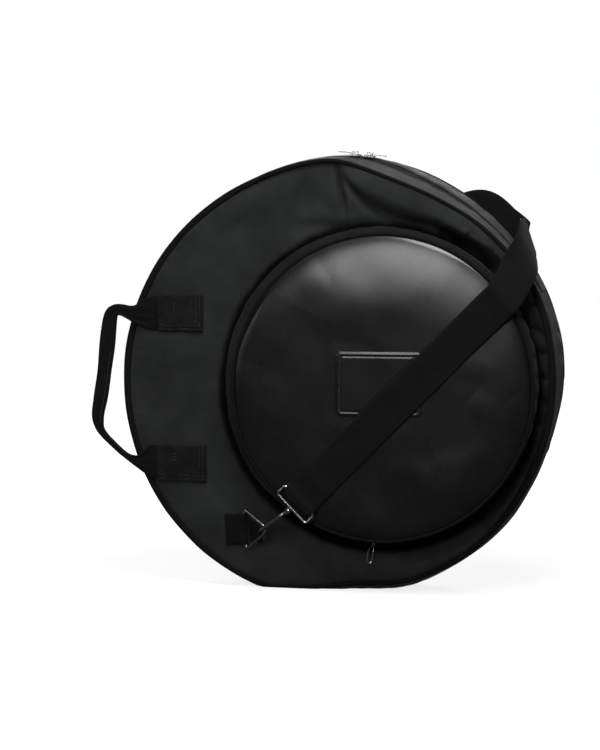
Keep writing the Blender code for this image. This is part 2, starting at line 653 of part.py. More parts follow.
class Hook:
    """A snap hook between a strap loop's bar and a ring's crook, drawn along the line between them."""

    def __init__(self, word, bar_centre, strap_way, across, crook, outward):
        self.word = word
        self.strap_way = strap_way
        self.across = across
        self.bar_centre = bar_centre
        span = crook - bar_centre
        self.length = span.length
        self.along = span.normalized()
        self.lift = (outward - self.along * outward.dot(self.along)).normalized()
        self.side = self.along.cross(self.lift)

    def place(self, along, lift):
        """World place of a point in the hook's own plane."""
        return self.bar_centre + self.along * along + self.lift * lift

    def make(self):
        """The strap loop, the hook with its swivel barrel, and the spring gate that closes it."""
        near = self.across * LOOP_WIDTH / 2
        far = self.strap_way * LOOP_LENGTH
        corners = [self.bar_centre + near, self.bar_centre - near]
        corners += [self.bar_centre - near + far, self.bar_centre + near + far]
        frame = rounded(corners, [LOOP_CORNER_RADIUS] * 4, BEND_STEPS)
        loop = tube(f"{self.word}_strap_loop", frame, LOOP_WIRE, "dark_metal", self.bar_centre, closed=True)
        begin = LOOP_WIRE + CLEARANCE + BARREL_RADIUS * abs(self.across.dot(self.along))
        neck = begin + BARREL_LENGTH
        shoulder = neck + HOOK_NECK_LENGTH
        bend_start = self.length - HOOK_HALF_WIDTH
        points = [(begin, 0), (neck, 0), (neck + CLEARANCE, 0), (neck + HOOK_WIRE, 0)]
        points.append((shoulder, HOOK_HALF_WIDTH))
        radii = [BARREL_RADIUS, BARREL_RADIUS, HOOK_WIRE, HOOK_WIRE, HOOK_WIRE]
        for step in range(HOOK_BEND_STEPS + 1):
            turn = math.pi * step / HOOK_BEND_STEPS
            reach = bend_start + HOOK_HALF_WIDTH * math.sin(turn)
            points.append((reach, HOOK_HALF_WIDTH * math.cos(turn)))
            radii.append(HOOK_WIRE)
        nose = bend_start - HOOK_NOSE_LENGTH
        points.append((nose, -HOOK_HALF_WIDTH))
        radii.append(HOOK_WIRE)
        path = [self.place(*point) for point in points]
        hook = tube(f"{self.word}_hook", path, HOOK_WIRE, "dark_metal", self.bar_centre, radii=radii)
        reach = HOOK_WIRE + GATE_WIRE + CLEARANCE
        root = (neck + HOOK_WIRE + reach / math.sqrt(2), -reach / math.sqrt(2))
        tip = (nose - CLEARANCE, -HOOK_HALF_WIDTH)
        pivot = self.place(*root)
        gate = tube(f"{self.word}_gate", [pivot, self.place(*tip)], GATE_WIRE, "dark_metal", pivot)
        carry(hook, [gate])
        return loop, hook


def strap_line(distance, depth):
    """A place on the strap's line across the pocket, by its distance from the middle of that line."""
    return POCKET_CENTRE + STRAP_WAY * distance + STRAP_ACROSS * STRAP_OFFSET - BEHIND * depth


def rim_crossing():
    """Where the strap crosses the rim: the way out, the crossing's middle and the way across the strap."""
    rim = math.radians(RIM_CROSSING_DEG)
    rim_out = Vector((math.cos(rim), 0, math.sin(rim)))
    lean = math.radians(RIM_CROSSING_DEG - RIM_TURN_DEG)
    crease = Vector((math.sin(lean), 0, -math.cos(lean)))
    return rim_out, BAG_CENTRE + rim_out * (BAG_RADIUS + RIM_STANDOFF), crease


def front_strap_stations(front_bar):
    """The strap from its sewn end round the front loop's bar, over the pocket and up to the zip."""
    resting = POCKET_FACE_DEPTH + CLEARANCE + STRAP_THICKNESS / 2
    doubled = resting + STRAP_THICKNESS + CLEARANCE
    begin = LOOP_LENGTH - STRAP_CHORD
    returned = begin + STRAP_RETURN
    stations = [(strap_line(returned, resting), STRAP_ACROSS)]
    upper_bar = front_bar + STRAP_WAY * LOOP_LENGTH
    stations += wrap(upper_bar, -STRAP_WAY, -BEHIND, STRAP_TURN_RADIUS, STRAP_ACROSS)
    for distance, depth in (
        (begin + STRAP_STEP_DOWN, doubled),
        (returned + CLEARANCE, doubled),
        (returned + STRAP_STEP_DOWN, resting),
        (0, resting),
        (STRAP_CHORD - POCKET_SHOULDER, resting),
        (STRAP_CHORD, resting),
    ):
        stations.append((strap_line(distance, depth), STRAP_ACROSS))
    leave = stations[-1][0]
    rim_out, top, crease = rim_crossing()
    shoulder = top - rim_out * RIM_SHOULDER - BEHIND * RIM_SHOULDER_DEPTH
    for part in RIM_APPROACH_SHARES:
        stations.append((leave.lerp(shoulder, part), STRAP_ACROSS.lerp(crease, part)))
    stations.append((shoulder, crease))
    stations.append((top - BEHIND * (MAIN_ZIP_OFFSET + CLEARANCE / 2), crease))
    return stations


def back_strap_stations(back_bar):
    """The strap from the zip at the rim, behind the bag and through the adjuster, to the back loop's bar."""
    rim_out, top, crease = rim_crossing()
    shoulder = top - rim_out * RIM_SHOULDER
    level = back_bar.y + STRAP_TURN_RADIUS
    high = BAG_CENTRE.z + BAG_RADIUS * BACK_RUN_UP_SHARE
    entry = Vector((BAG_RADIUS * BACK_RUN_ENTRY_SHARE, level, high))
    rounding = (shoulder + BEHIND * level).lerp(entry, BACK_RUN_ROUNDING_SHARE)
    first_twist, second_twist = BACK_RUN_TWIST_SHARES
    stations = [
        (top - BEHIND * (MAIN_ZIP_OFFSET - CLEARANCE / 2), crease),
        (top + BEHIND * HALF_DEPTH / 2, crease),
        (shoulder + BEHIND * RIM_SHOULDER_DEPTH, crease.lerp(-UP, first_twist)),
        (rounding, crease.lerp(-UP, second_twist)),
        (entry, -UP),
    ]
    for side, under in ((1, 0), (0, 2), (-1, 0)):
        right = ADJUSTER_RIGHT + side * ADJUSTER_LENGTH / 2
        stations.append((Vector((right, level - under * ADJUSTER_WEAVE, back_bar.z)), -UP))
    bend = wrap(back_bar + RIGHT * LOOP_LENGTH, -RIGHT, -BEHIND, STRAP_TURN_RADIUS, -UP)
    return [*stations, *bend, (bend[-1][0] + RIGHT * STRAP_RETURN, -UP)]


def make_adjuster(back_bar):
    """The plate that the strap is woven through, over its outer bars and under its middle bar."""
    centre = Vector((ADJUSTER_RIGHT, back_bar.y + STRAP_TURN_RADIUS - ADJUSTER_WEAVE, back_bar.z))
    axes = (RIGHT, BEHIND, UP)
    size = (ADJUSTER_LENGTH + ADJUSTER_BAR, ADJUSTER_BAR, ADJUSTER_WIDTH)
    plate = slab("strap_adjuster", centre, axes, size, "dark_metal", centre)
    slot = (ADJUSTER_LENGTH / 2 - ADJUSTER_BAR, 2 * ADJUSTER_BAR, ADJUSTER_WIDTH - 2 * ADJUSTER_BAR)
    for word, side in (("left", -1), ("right", 1)):
        middle = centre + RIGHT * (side * ADJUSTER_LENGTH / 4)
        cutter = slab(f"adjuster_slot_{word}", middle, axes, slot, None, middle)
        cutter.hide_render = True
        cutter.display_type = "WIRE"
        cut = plate.modifiers.new(f"slot_{word}", "BOOLEAN")
        cut.operation = "DIFFERENCE"
        cut.object = cutter
    return plate


panels = make_panels()
gusset, main_teeth = make_gusset()
make_main_sliders(main_teeth)
pocket_fixed, pocket_moving, pocket_teeth, pocket_zip_depth = make_pocket()
pocket_slider, pocket_pivot, pocket_out, _ = make_slider(
    "pocket_slider", POCKET_CENTRE, pocket_teeth, POCKET_SLIDER_DEG, pocket_zip_depth
)
pocket_pull = make_pull("pocket_pull", pocket_pivot, pocket_out, POCKET_PULL_LENGTH, POCKET_PULL_WIDTH)
carry(pocket_slider, [pocket_pull])
handle_anchors, handle_loop = make_handle()

front_bar = strap_line(-STRAP_CHORD, STRAP_LOOP_DEPTH)
front_ring_place = front_bar - RIGHT * FRONT_RING_LEFT - UP * FRONT_RING_BELOW
back_ring_place = at(-BAG_RADIUS * BACK_RING_LEFT_SHARE, BAG_RADIUS * BACK_RING_UP_SHARE, 0)
front_ring = Ring("front", front_ring_place, RING_TURN_DEG, FRONT_RING_TILT_DEG, -BEHIND)
back_ring = Ring("back", back_ring_place, 0, BACK_RING_TILT_DEG, BEHIND)
front_hook = Hook("front", front_bar, STRAP_WAY, STRAP_ACROSS, front_ring.crook, -BEHIND)
back_bar = back_ring.crook + RIGHT * front_hook.length
back_hook = Hook("back", back_bar, RIGHT, -UP, back_ring.crook, BEHIND)
front_hardware = [*front_ring.make(), *front_hook.make()]
back_ring.make()
back_hook.make()
front_run = front_strap_stations(front_bar)
back_run = back_strap_stations(back_bar)
strap_front = ribbon("strap_front_run", front_run, STRAP_WIDTH, STRAP_THICKNESS, "webbing", front_run[0][0])
ribbon("strap_back_run", back_run, STRAP_WIDTH, STRAP_THICKNESS, "webbing", back_run[0][0])
make_adjuster(back_bar)

# The front cover opens about a line down the hinge gusset, and the flap folds back beside the strap
cover_depth = PIPING_CENTRE_DEPTH + PIPING_RADIUS + CLEARANCE
cover_axis = axis_empty("front_cover_axis", at(BAG_RADIUS, 0, cover_depth))
flap_axis = axis_empty("pocket_flap_axis", POCKET_CENTRE - BEHIND * (POCKET_FACE_DEPTH + CLEARANCE))
carry(flap_axis, pocket_moving)
carry(cover_axis, [*panels["front"], gusset["front_gusset_strip"], gusset["front_zip_tape"]])
carry(cover_axis, [*pocket_fixed, flap_axis, pocket_slider, *handle_anchors, handle_loop])
carry(cover_axis, [*front_hardware, strap_front])
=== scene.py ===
"""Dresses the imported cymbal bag: cloth, vinyl, webbing, zips and metal round the fixed frame."""

import math

import bmesh
import bpy
import numpy as np
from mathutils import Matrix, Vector


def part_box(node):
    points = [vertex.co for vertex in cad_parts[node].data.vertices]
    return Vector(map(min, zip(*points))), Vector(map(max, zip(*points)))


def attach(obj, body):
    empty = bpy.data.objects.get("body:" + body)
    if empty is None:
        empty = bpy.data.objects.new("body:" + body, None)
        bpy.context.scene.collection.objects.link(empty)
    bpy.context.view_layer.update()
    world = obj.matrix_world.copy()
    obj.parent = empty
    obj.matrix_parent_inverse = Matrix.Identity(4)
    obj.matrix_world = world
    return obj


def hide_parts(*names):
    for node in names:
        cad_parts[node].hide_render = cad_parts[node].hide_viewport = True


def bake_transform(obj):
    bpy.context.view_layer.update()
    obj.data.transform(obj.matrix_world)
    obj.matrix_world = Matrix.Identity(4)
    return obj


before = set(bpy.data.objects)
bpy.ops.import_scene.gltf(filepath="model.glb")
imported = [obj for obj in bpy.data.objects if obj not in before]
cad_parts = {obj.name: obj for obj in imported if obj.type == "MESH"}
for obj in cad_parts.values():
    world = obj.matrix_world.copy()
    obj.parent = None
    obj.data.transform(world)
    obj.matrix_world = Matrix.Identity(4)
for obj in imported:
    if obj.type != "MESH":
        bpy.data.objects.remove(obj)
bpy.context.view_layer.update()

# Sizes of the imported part, in metres. Depths run from the gusset's middle towards the face.
MM = 0.001
CENTRE_UP = 0.289
BAG_RADIUS = 0.300
FLOOR_SHARE = CENTRE_UP / BAG_RADIUS
HINGE_DEG = 22.5
PANEL_DEPTH = 0.0465
PANEL_UNDER = 0.0393
PANEL_LINING = (0.0372, 0.0389)
GUSSET_EDGE = 0.0405
SEAM_DEPTH = 0.0425
BINDING_DEPTH = 0.0428
BACK_SEAM_HALF = 0.0045
STRIP_THICKNESS = 0.0022
ZIP_DEPTH = 0.015
TEETH_CROWN = 0.298
COIL_PITCH = 0.0022

POCKET = np.array((0.073, -0.007))
POCKET_RADIUS = 0.2045
POCKET_ZIP_DEPTH = 0.058
POCKET_TEETH_CROWN = 0.2025
POCKET_FACE = 0.0945
COVER_UNDER = 0.0893
COVER_LINING = (0.0881, 0.0890)
FOLD_DEG = 45
ZIP_END_DEG = 270
PULL_PIVOT = (0.05782, -0.058, 0.07526)

HANDLE_LEFT = -0.250
HANDLE_BACK = 0.0469

CLEARANCE = 0.0003
STRAP_OFFSET = 0.034
STRAP_WIDTH = 0.050
STRAP_THICKNESS = 0.002
STRAP_CHORD = math.sqrt(POCKET_RADIUS**2 - STRAP_OFFSET**2)
STRAP_TURN = 0.0035
STRAP_DEPTH = POCKET_FACE + CLEARANCE + STRAP_THICKNESS / 2
LOOP_LENGTH = 0.016
RING_WIRE = 0.0022

BEHIND = np.array((0.0, 1.0, 0.0))
RIGHT = np.array((1.0, 0.0, 0.0))
DOWN = np.array((0.0, 0.0, -1.0))
STRAP_WAY = np.array((math.sqrt(0.5), 0.0, math.sqrt(0.5)))
STRAP_ACROSS = np.array((math.sqrt(0.5), 0.0, -math.sqrt(0.5)))


def at(right, up, depth):
    """World place of points given from the bag's centre."""
    right, up, depth = np.broadcast_arrays(right, up, depth)
    return np.stack([right, -depth, CENTRE_UP + up], -1).astype(float)


# ---- Forms of cloth ----


def ripple(u, v, wave, seed):
    """A smooth random height of about one, from a few waves in seeded directions."""
    draw = np.random.default_rng(seed)
    total = np.zeros(np.broadcast(u, v).shape)
    for _ in range(8):
        turn, phase = draw.uniform(0, 2 * math.pi, 2)
        pace = 2 * math.pi / (wave * draw.uniform(0.7, 1.5))
        total = total + np.sin((u * math.cos(turn) + v * math.sin(turn)) * pace + phase)
    return total / 2.8


def crumple(u, v, wave, seed):
    """Rounded bellies with sharper creases between them, from nought to about one."""
    first = np.abs(ripple(u, v, wave, seed))
    second = np.abs(ripple(u, v, wave * 0.55, seed + 100))
    return np.sqrt(first**2 + 0.004) * 0.7 + np.sqrt(second**2 + 0.004) * 0.3


def bunched(along, pitch):
    """Even lumps with narrow creases between them, from about -0.6 to 0.4."""
    return (np.abs(np.sin(along * math.pi / pitch)) + 0.006) ** 0.38 - 0.62


def step(value, low, high):
    """Nought below low, one above high, and smooth between them."""
    share = np.clip((value - low) / (high - low), 0, 1)
    return share * share * (3 - 2 * share)


def window(value, low, high, soft):
    """One between low and high, and smoothly nought outside."""
    return step(value, low - soft, low + soft) * (1 - step(value, high - soft, high + soft))


def shoulder(to_seam, reach, power):
    """How far a pad's edge has fallen, from nought at its reach to one at the seam."""
    near = np.clip(1 - to_seam / reach, 0, 1) ** power
    return 1 - np.sqrt(np.clip(1 - near, 0, 1))


def fold(x, up, route, width, height):
    """One fold along a route in millimetres: a ridge, or a valley where the height is negative."""
    route = np.array(route, float) * MM
    lengths = np.linalg.norm(np.diff(route, axis=0), axis=1)
    total, run = lengths.sum(), 0.0
    nearest = np.full(x.shape, 1e9)
    share = np.zeros(x.shape)
    for start, end, length in zip(route, route[1:], lengths):
        way = (end - start) / length
        part = np.clip((x - start[0]) * way[0] + (up - start[1]) * way[1], 0, length)
        apart = np.hypot(x - start[0] - way[0] * part, up - start[1] - way[1] * part)
        closer = apart < nearest
        nearest = np.where(closer, apart, nearest)
        share = np.where(closer, (run + part) / total, share)
        run += length
    width, height = width * MM, height * MM
    soft = np.sqrt(nearest**2 + (0.3 * width) ** 2) - 0.3 * width
    ends = np.sqrt(np.clip(np.sin(np.pi * np.clip(share, 0.02, 0.98)), 0, 1))
    return height * np.exp(-((soft / width) ** 1.6)) * ends


def folds(x, up, listed):
    """The height of several folds, each listed as a route, a width and a height."""
    return sum(fold(x, up, *one) for one in listed)


def table(angle, pairs):
    """A smooth value round the rim, read from millimetres at some degrees."""
    spread = np.zeros(np.shape(angle))
    for offset in (-3, -1.5, 0, 1.5, 3):
        degrees = np.degrees(angle) % 360 + offset
        spread = spread + 0.2 * np.interp(degrees, list(pairs), list(pairs.values()))
    return spread * MM


# How far the outline is pulled in at the front seam, the zip and the back seam
FRONT_PULL = {
    20: 0, 26: 1, 31: 5, 37: 10, 41: 12, 46: 14, 53: 18, 58: 21, 63: 22, 68: 22.5, 73: 22, 78: 19,
    83: 14, 87: 9, 91: 6, 96: 6, 100: 7, 105: 8, 112: 9.3, 120: 9, 128: 8.5, 135: 7, 142: 6,
    148: 5, 155: 4, 163: 2.5, 172: 1, 180: 0,
}
ZIP_PULL = {
    26: 0, 33: 2, 40: 5, 50: 8, 60: 9, 68: 8, 74: 4, 79: 0.5, 81: 0, 89: 0, 95: 1.5, 102: 3.5,
    110: 5.5, 122: 6, 135: 4.5, 148: 3, 160: 1.5, 172: 0,
}
BACK_PULL = {
    0: 2, 10: 1, 25: 3, 37: 5, 50: 6, 62: 5, 75: 3, 85: 2, 92: 3, 100: 6, 110: 8, 122: 8, 135: 6,
    148: 4.5, 160: 2, 172: 0, 316: 0, 330: 4.5, 338: 6, 347: 6, 355: 3.5, 360: 2,
}
BOTTOM_TUCK = {230: 0, 243: 4, 256: 7.5, 272: 8, 288: 7, 300: 3, 312: 0}
LEFT_BULGE = {180: 0, 200: 2.5, 215: 5, 226: 5.5, 236: 8, 246: 12, 254: 13, 264: 9, 276: 0}
SEAM_HALF = {
    20: 5.0, 32: 3.4, 45: 2.8, 85: 2.8, 100: 3.6, 130: 5.0, 225: 5.0, 245: 3.2, 300: 3.2, 330: 5.0,
}
# How far the pocket's gusset bellies out, and how far its cover's edge sinks back
POCKET_BELLY = {
    0: 3, 35: 3, 57: 3.5, 80: 4, 100: 5.5, 130: 10, 165: 13, 215: 13, 235: 8, 250: 2, 262: 0.5,
    330: 0.5, 359: 3,
}
COVER_DROP = {
    0: 4, 30: 6, 50: 9, 75: 12, 105: 12, 130: 8.5, 160: 4.5, 200: 2, 240: 1, 270: 1.5, 300: 3,
    330: 3.5, 359: 4,
}


def rim(angle, depth):
    """Radius of the bag's outline at a depth: a circle, pulled in at the upper right."""
    front, middle, back = (table(angle, pull) for pull in (FRONT_PULL, ZIP_PULL, BACK_PULL))
    ahead = np.clip((depth - ZIP_DEPTH) / (SEAM_DEPTH - ZIP_DEPTH), 0, 1)
    behind = np.clip((ZIP_DEPTH - depth) / (ZIP_DEPTH + SEAM_DEPTH), 0, 1)
    pull = middle + (front - middle) * ahead + (back - middle) * behind
    pull = pull + table(angle, BOTTOM_TUCK) * ahead**3
    return BAG_RADIUS - pull + table(angle, LEFT_BULGE) * step(depth, 0.019, 0.038)


def squat(rise):
    """The sine of an angle round the bag, flattened where the bag stands on the floor."""
    above, soft = rise + FLOOR_SHARE, 0.036
    bend = np.clip(above + soft, 0, 2 * soft) ** 2 / (4 * soft)
    return -FLOOR_SHARE + np.where(above > soft, above, bend)


def round_bag(radius, angle, depth):
    """World places round the bag's centre, with the flat at the bottom."""
    up = np.maximum(radius * squat(np.sin(angle)), -CENTRE_UP)
    return at(radius * np.cos(angle), up, depth)


def round_pocket(radius, angle, depth):
    """World places round the pocket's centre."""
    return at(POCKET[0] + radius * np.cos(angle), POCKET[1] + radius * np.sin(angle), depth)


# ---- Meshes ----


def unit(vectors):
    """Vectors scaled to a length of one."""
    return vectors / np.maximum(np.linalg.norm(vectors, axis=-1, keepdims=True), 1e-12)


def run_along(points):
    """The distance along a route to each of its points."""
    lengths = np.linalg.norm(np.diff(points, axis=0), axis=1)
    return np.concatenate([[0], np.cumsum(lengths)])


def lattice(first, second):
    """Every pair of two rows of values."""
    return np.stack(np.meshgrid(first, second, indexing="ij"), -1)


def squared(turn, power):
    """The cosine and sine of angles, squared off, for a rounded box instead of a circle."""
    return [np.sign(wave) * np.abs(wave) ** power for wave in (np.cos(turn), np.sin(turn))]


def build(name, points, faces, corners, look, stands_for=()):
    """A piece from places, faces and pattern corners, which hides the nodes it replaces."""
    mesh = bpy.data.meshes.new(name)
    mesh.from_pydata(points.reshape(-1, 3).tolist(), [], faces)
    if corners is not None:
        layer = mesh.uv_layers.new(name="UVMap")
        layer.data.foreach_set("uv", corners.astype(np.float32).ravel())
    form = bmesh.new()
    form.from_mesh(mesh)
    bmesh.ops.remove_doubles(form, verts=form.verts, dist=1e-6)
    bmesh.ops.recalc_face_normals(form, faces=form.faces)
    form.to_mesh(mesh)
    form.free()
    mesh.materials.append(look)
    mesh.shade_smooth()
    piece = bpy.data.objects.new(name, mesh)
    bpy.context.scene.collection.objects.link(piece)
    if stands_for:
        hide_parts(*stands_for)
    return piece


def skin(name, points, uv, look, slot, stands_for=(), wrap=(False, False), caps=False):
    """A piece over a grid of places, with its pattern laid out in metres."""
    rows, columns = points.shape[:2]
    index = np.arange(rows * columns).reshape(rows, columns)
    spans = np.arange(rows - (not wrap[0])), np.arange(columns - (not wrap[1]))
    i, j = np.moveaxis(lattice(*spans), -1, 0)
    ahead, across = (i + 1) % rows, (j + 1) % columns
    quads = np.stack([index[i, j], index[ahead, j], index[ahead, across], index[i, across]], -1)
    corners = np.stack([uv[i, j], uv[i + 1, j], uv[i + 1, j + 1], uv[i, j + 1]], -2)
    faces, corners = quads.reshape(-1, 4).tolist(), corners.reshape(-1, 2)
    if caps:
        for row, loop in ((0, index[0][::-1]), (rows - 1, index[-1])):
            faces.append(loop.tolist())
            corners = np.concatenate([corners, np.repeat(uv[row, :1], columns, 0)])
    return build(name, points, faces, corners, look, stands_for)


def pad(name, flat, centre, near, far, hubs, look, slot, stands_for, thin=1):
    """A closed round pad over a polar grid, from its near depths and hub to its far ones."""
    first, last = (np.repeat(at(*centre, hub)[None, None], len(flat), 0) for hub in hubs)
    sheets = []
    for depth in (near, far):
        sheet = flat.copy()
        sheet[..., 1] = -depth
        sheets.append(sheet)
    points = np.concatenate([first, sheets[0], sheets[1][:, ::-thin], last], 1)
    uv = points[..., [0, 2]]
    uv = np.concatenate([uv, uv[:1]], 0)
    return skin(name, points, uv, look, slot, stands_for, (True, False))


def angles(span, pitch, radius):
    """Angles over a span in degrees, about a pitch apart along the circle."""
    first, last = np.radians(span)
    count = max(int((last - first) * radius / pitch), 8)
    return np.linspace(first, last, count + 1)


def lay(angle, profile, radius):
    """Pattern places for a strip: metres round the circle and metres along its profile."""
    return lattice(angle * radius, run_along(np.concatenate([profile, profile[:1]])))


def sweep(name, place, profile, span, look, slot, stands_for, pitch=0.005, radius=BAG_RADIUS):
    """Sweeps a closed profile round a circle. place turns angles and profile points into places."""
    whole = span[1] - span[0] >= 360
    turn = angles(span, pitch, radius)
    uv = lay(turn, profile, radius)
    if whole:
        turn = turn[:-1]
    points = place(turn[:, None], profile[None, :, 0], profile[None, :, 1])
    return skin(name, points, uv, look, slot, stands_for, (whole, True), caps=not whole)


def flat_profile(near, far, steps):
    """A thin band from one depth to another, given as (outward, depth), with rounded edges."""
    across = np.linspace(0, 1, steps)
    depth = near + (far - near) * across
    drop = 0.0006 * (np.exp(-across * steps * 0.9) + np.exp(-(1 - across) * steps * 0.9))
    top = np.stack([-drop, depth], -1)
    under = np.stack([np.full(steps, -STRIP_THICKNESS), depth], -1)[::-1]
    return np.concatenate([top, under])


def oval_profile(half_out, half_depth, outward, depth):
    """A rounded profile for a binding."""
    one, two = squared(np.arange(14) * 2 * math.pi / 14, 0.8)
    return np.stack([outward + half_out * one, depth + half_depth * two], -1)


def smooth_route(points, count):
    """Rows evenly along a smooth curve through rows of a place and other values, and its length."""
    points = np.array(points, float)
    padded = np.concatenate([[2 * points[0] - points[1]], points, [2 * points[-1] - points[-2]]])
    fine = []
    for k in range(len(points) - 1):
        a, b, c, d = padded[k : k + 4]
        t = np.linspace(0, 1, 24, endpoint=False)[:, None]
        bend = (2 * a - 5 * b + 4 * c - d) * t**2 + (3 * b - a - 3 * c + d) * t**3
        fine.append(0.5 * (2 * b + (c - a) * t + bend))
    fine = np.concatenate([*fine, points[-1:]])
    run = run_along(fine[:, :3])
    even = np.linspace(0, run[-1], count)
    return np.stack([np.interp(even, run, column) for column in fine.T], -1), run[-1]


def ribbon(name, stations, width, thickness, look, nodes=(), pitch=0.003, bend=None):
    """A woven strap through stations of a place and a direction across, with rounded edges."""
    rows = np.array([[*place, *across] for place, across in stations], float)
    rows, length = smooth_route(rows, int(run_along(rows[:, :3])[-1] / pitch) + 2)
    places, across = rows[:, :3], unit(rows[:, 3:6])
    heading = unit(np.gradient(places, axis=0))
    across = unit(across - heading * (across * heading).sum(-1, keepdims=True))
    lift = np.cross(heading, across)
    share = np.linspace(-1, 1, 17)
    rise = thickness / 2 * (1 - 0.55 * np.abs(share) ** 14)
    loop = np.concatenate([np.stack([share, rise], -1), np.stack([share, -rise], -1)[::-1]])
    along = np.linspace(0, length, len(places))
    curl = bend(along) if bend else 0 * along
    side = loop[None, :, 0, None] * width / 2
    out = loop[None, :, 1, None] + curl[:, None, None] * loop[None, :, 0, None] ** 2
    points = places[:, None] + across[:, None] * side + lift[:, None] * out
    around = run_along(loop * (width / 2, 1))
    uv = lattice(along, np.append(around, around[-1] + thickness))
    return skin(name, points, uv, look, "webbing", nodes, (False, True), caps=True)


STITCH = (0.0032, 0.0024, 0.00042)
STITCH_RINGS = ((0.0, 0.35), (0.2, 1.0), (0.8, 1.0), (1.0, 0.35))


def stitches(name, rows):
    """Rows of thread in one piece, each a route, a pitch, and a stitch's length and radius."""
    turn = (np.arange(5) * 2 * math.pi / 5)[:, None]
    points = []
    for route, pitch, length, radius in rows:
        run = run_along(route)
        middle = np.arange(pitch / 2, run[-1], pitch)
        start, end = (
            np.stack([np.interp(middle + half, run, column) for column in route.T], -1)
            for half in (-length / 2, length / 2)
        )
        way = unit(end - start)
        helper = np.where(np.abs(way[:, :1]) < 0.8, [[1.0, 0, 0]], [[0, 0, 1.0]])
        one = unit(np.cross(way, helper))
        arm = one[:, None] * np.cos(turn) + np.cross(way, one)[:, None] * np.sin(turn)
        rings = [
            (start + (end - start) * share)[:, None] + arm * radius * reach
            for share, reach in STITCH_RINGS
        ]
        points.append(np.stack(rings, 1).reshape(-1, 3))
    points = np.concatenate(points)
    shape = []
    for low in (0, 5, 10):
        for side in range(5):
            after = low + (side + 1) % 5
            shape.append((low + side, after, after + 5, low + side + 5))
    shape += [(4, 3, 2, 1, 0), (15, 16, 17, 18, 19)]
    faces = [[base + k for k in face] for base in range(0, len(points), 20) for face in shape]
    return build(name, points, faces, None, black_thread)


# ---- Looks ----


class Nodes:
    """Adds nodes to a tree."""

    def __init__(self, owner):
        owner.use_nodes = True
        self.tree = owner.node_tree

    def node(self, kind, settings=None, inputs=None):
        """Adds a node with its settings and inputs, which may be numbers or sockets."""
        made = self.tree.nodes.new("ShaderNode" + kind)
        for key, value in (settings or {}).items():
            setattr(made, key, value)
        for key, value in (inputs or {}).items():
            if isinstance(value, bpy.types.NodeSocket):
                self.tree.links.new(value, made.inputs[key])
            else:
                made.inputs[key].default_value = value
        return made

    def math(self, operation, *values):
        """A sum, product or the like of numbers and sockets."""
        return self.node("Math", {"operation": operation}, dict(enumerate(values))).outputs[0]

    def remap(self, value, low, high, to_low, to_high, **settings):
        """A value moved from one span to another."""
        names = ("Value", "From Min", "From Max", "To Min", "To Max")
        inputs = dict(zip(names, (value, low, high, to_low, to_high)))
        return self.node("MapRange", settings, inputs).outputs["Result"]

    def mix(self, share, dark, light):
        """A colour between two, each given as numbers or a socket."""
        return self.node("Mix", {"data_type": "RGBA"}, {0: share, 6: dark, 7: light}).outputs[2]

    def length(self, vector):
        """How long a vector is."""
        inputs = {0: vector}
        return self.node("VectorMath", {"operation": "LENGTH"}, inputs).outputs["Value"]


class Look(Nodes):
    """A Principled material whose pattern, roughness and bump come from nodes."""

    def __init__(self, name, coords="UV", **sockets):
        self.material = bpy.data.materials.new(name)
        super().__init__(self.material)
        self.shader = self.tree.nodes["Principled BSDF"]
        self.source = self.node("TexCoord").outputs[coords]
        for socket, value in sockets.items():
            self.shader.inputs[socket.replace("_", " ")].default_value = value

    def noise(self, size, detail=3.0, rough=0.55):
        """Cloudy values whose clouds are about this size in metres."""
        inputs = {"Vector": self.source, "Scale": 1 / size, "Detail": detail, "Roughness": rough}
        return self.node("TexNoise", None, inputs).outputs["Fac"]

    def wave(self, pitch, direction, distort=0.0):
        """Even waves at this pitch in metres along X or Y."""
        scale = 2 * math.pi / (20 * pitch)
        inputs = {"Vector": self.source, "Scale": scale, "Distortion": distort, "Detail": 1.0}
        return self.node("TexWave", {"bands_direction": direction}, inputs).outputs["Fac"]

    def cells(self, size):
        """Distance to the middle of grains of about this size."""
        inputs = {"Vector": self.source, "Scale": 1 / size}
        return self.node("TexVoronoi", {"feature": "SMOOTH_F1"}, inputs).outputs["Distance"]

    def colour(self, share, dark, light):
        """Colours the surface between two tones."""
        self.set("Base Color", self.mix(share, (*dark, 1), (*light, 1)))

    def set(self, name, socket):
        """Links a socket to one of the shader's."""
        self.tree.links.new(socket, self.shader.inputs[name])

    def finish(self, share, low, high, *layers):
        """Roughness between two values, and bumps of (height socket, depth in metres)."""
        self.set("Roughness", self.remap(share, 0, 1, low, high))
        normal = None
        for height, distance in layers:
            inputs = {"Height": height, "Distance": distance, "Strength": 1.0}
            if normal:
                inputs["Normal"] = normal
            normal = self.node("Bump", None, inputs).outputs["Normal"]
        self.set("Normal", normal)
        return self.material

    def shade(self, centre, half, turn, soft, least, inner=None):
        """Paints shade into the colour: darkens it inside an oval on the front, or in a ring, as
        shade falls deep in a crease.
        """
        inputs = {"Vector": self.source, "Location": (*centre, 0), "Scale": (*half, 1)}
        inputs["Rotation"] = (0, 0, math.radians(turn))
        length = self.length(self.node("Mapping", {"vector_type": "TEXTURE"}, inputs).outputs[0])
        fray = self.remap(self.noise(0.03), 0.3, 0.7, -0.4 * soft, 0.4 * soft)
        ragged = self.math("ADD", length, fray)
        share = self.remap(ragged, 1 - soft, 1 + soft, least, 1.0)
        if inner:
            within = self.remap(ragged, inner - 0.02, inner + 0.02, 1.0, least)
            share = self.math("MAXIMUM", share, within)
        # Painted shade: the base colour is scaled down by the share of light.
        inputs = {0: self.shader.inputs["Base Color"].links[0].from_socket, "Scale": share}
        dimmed = self.node("VectorMath", {"operation": "SCALE"}, inputs)
        self.set("Base Color", dimmed.outputs[0])


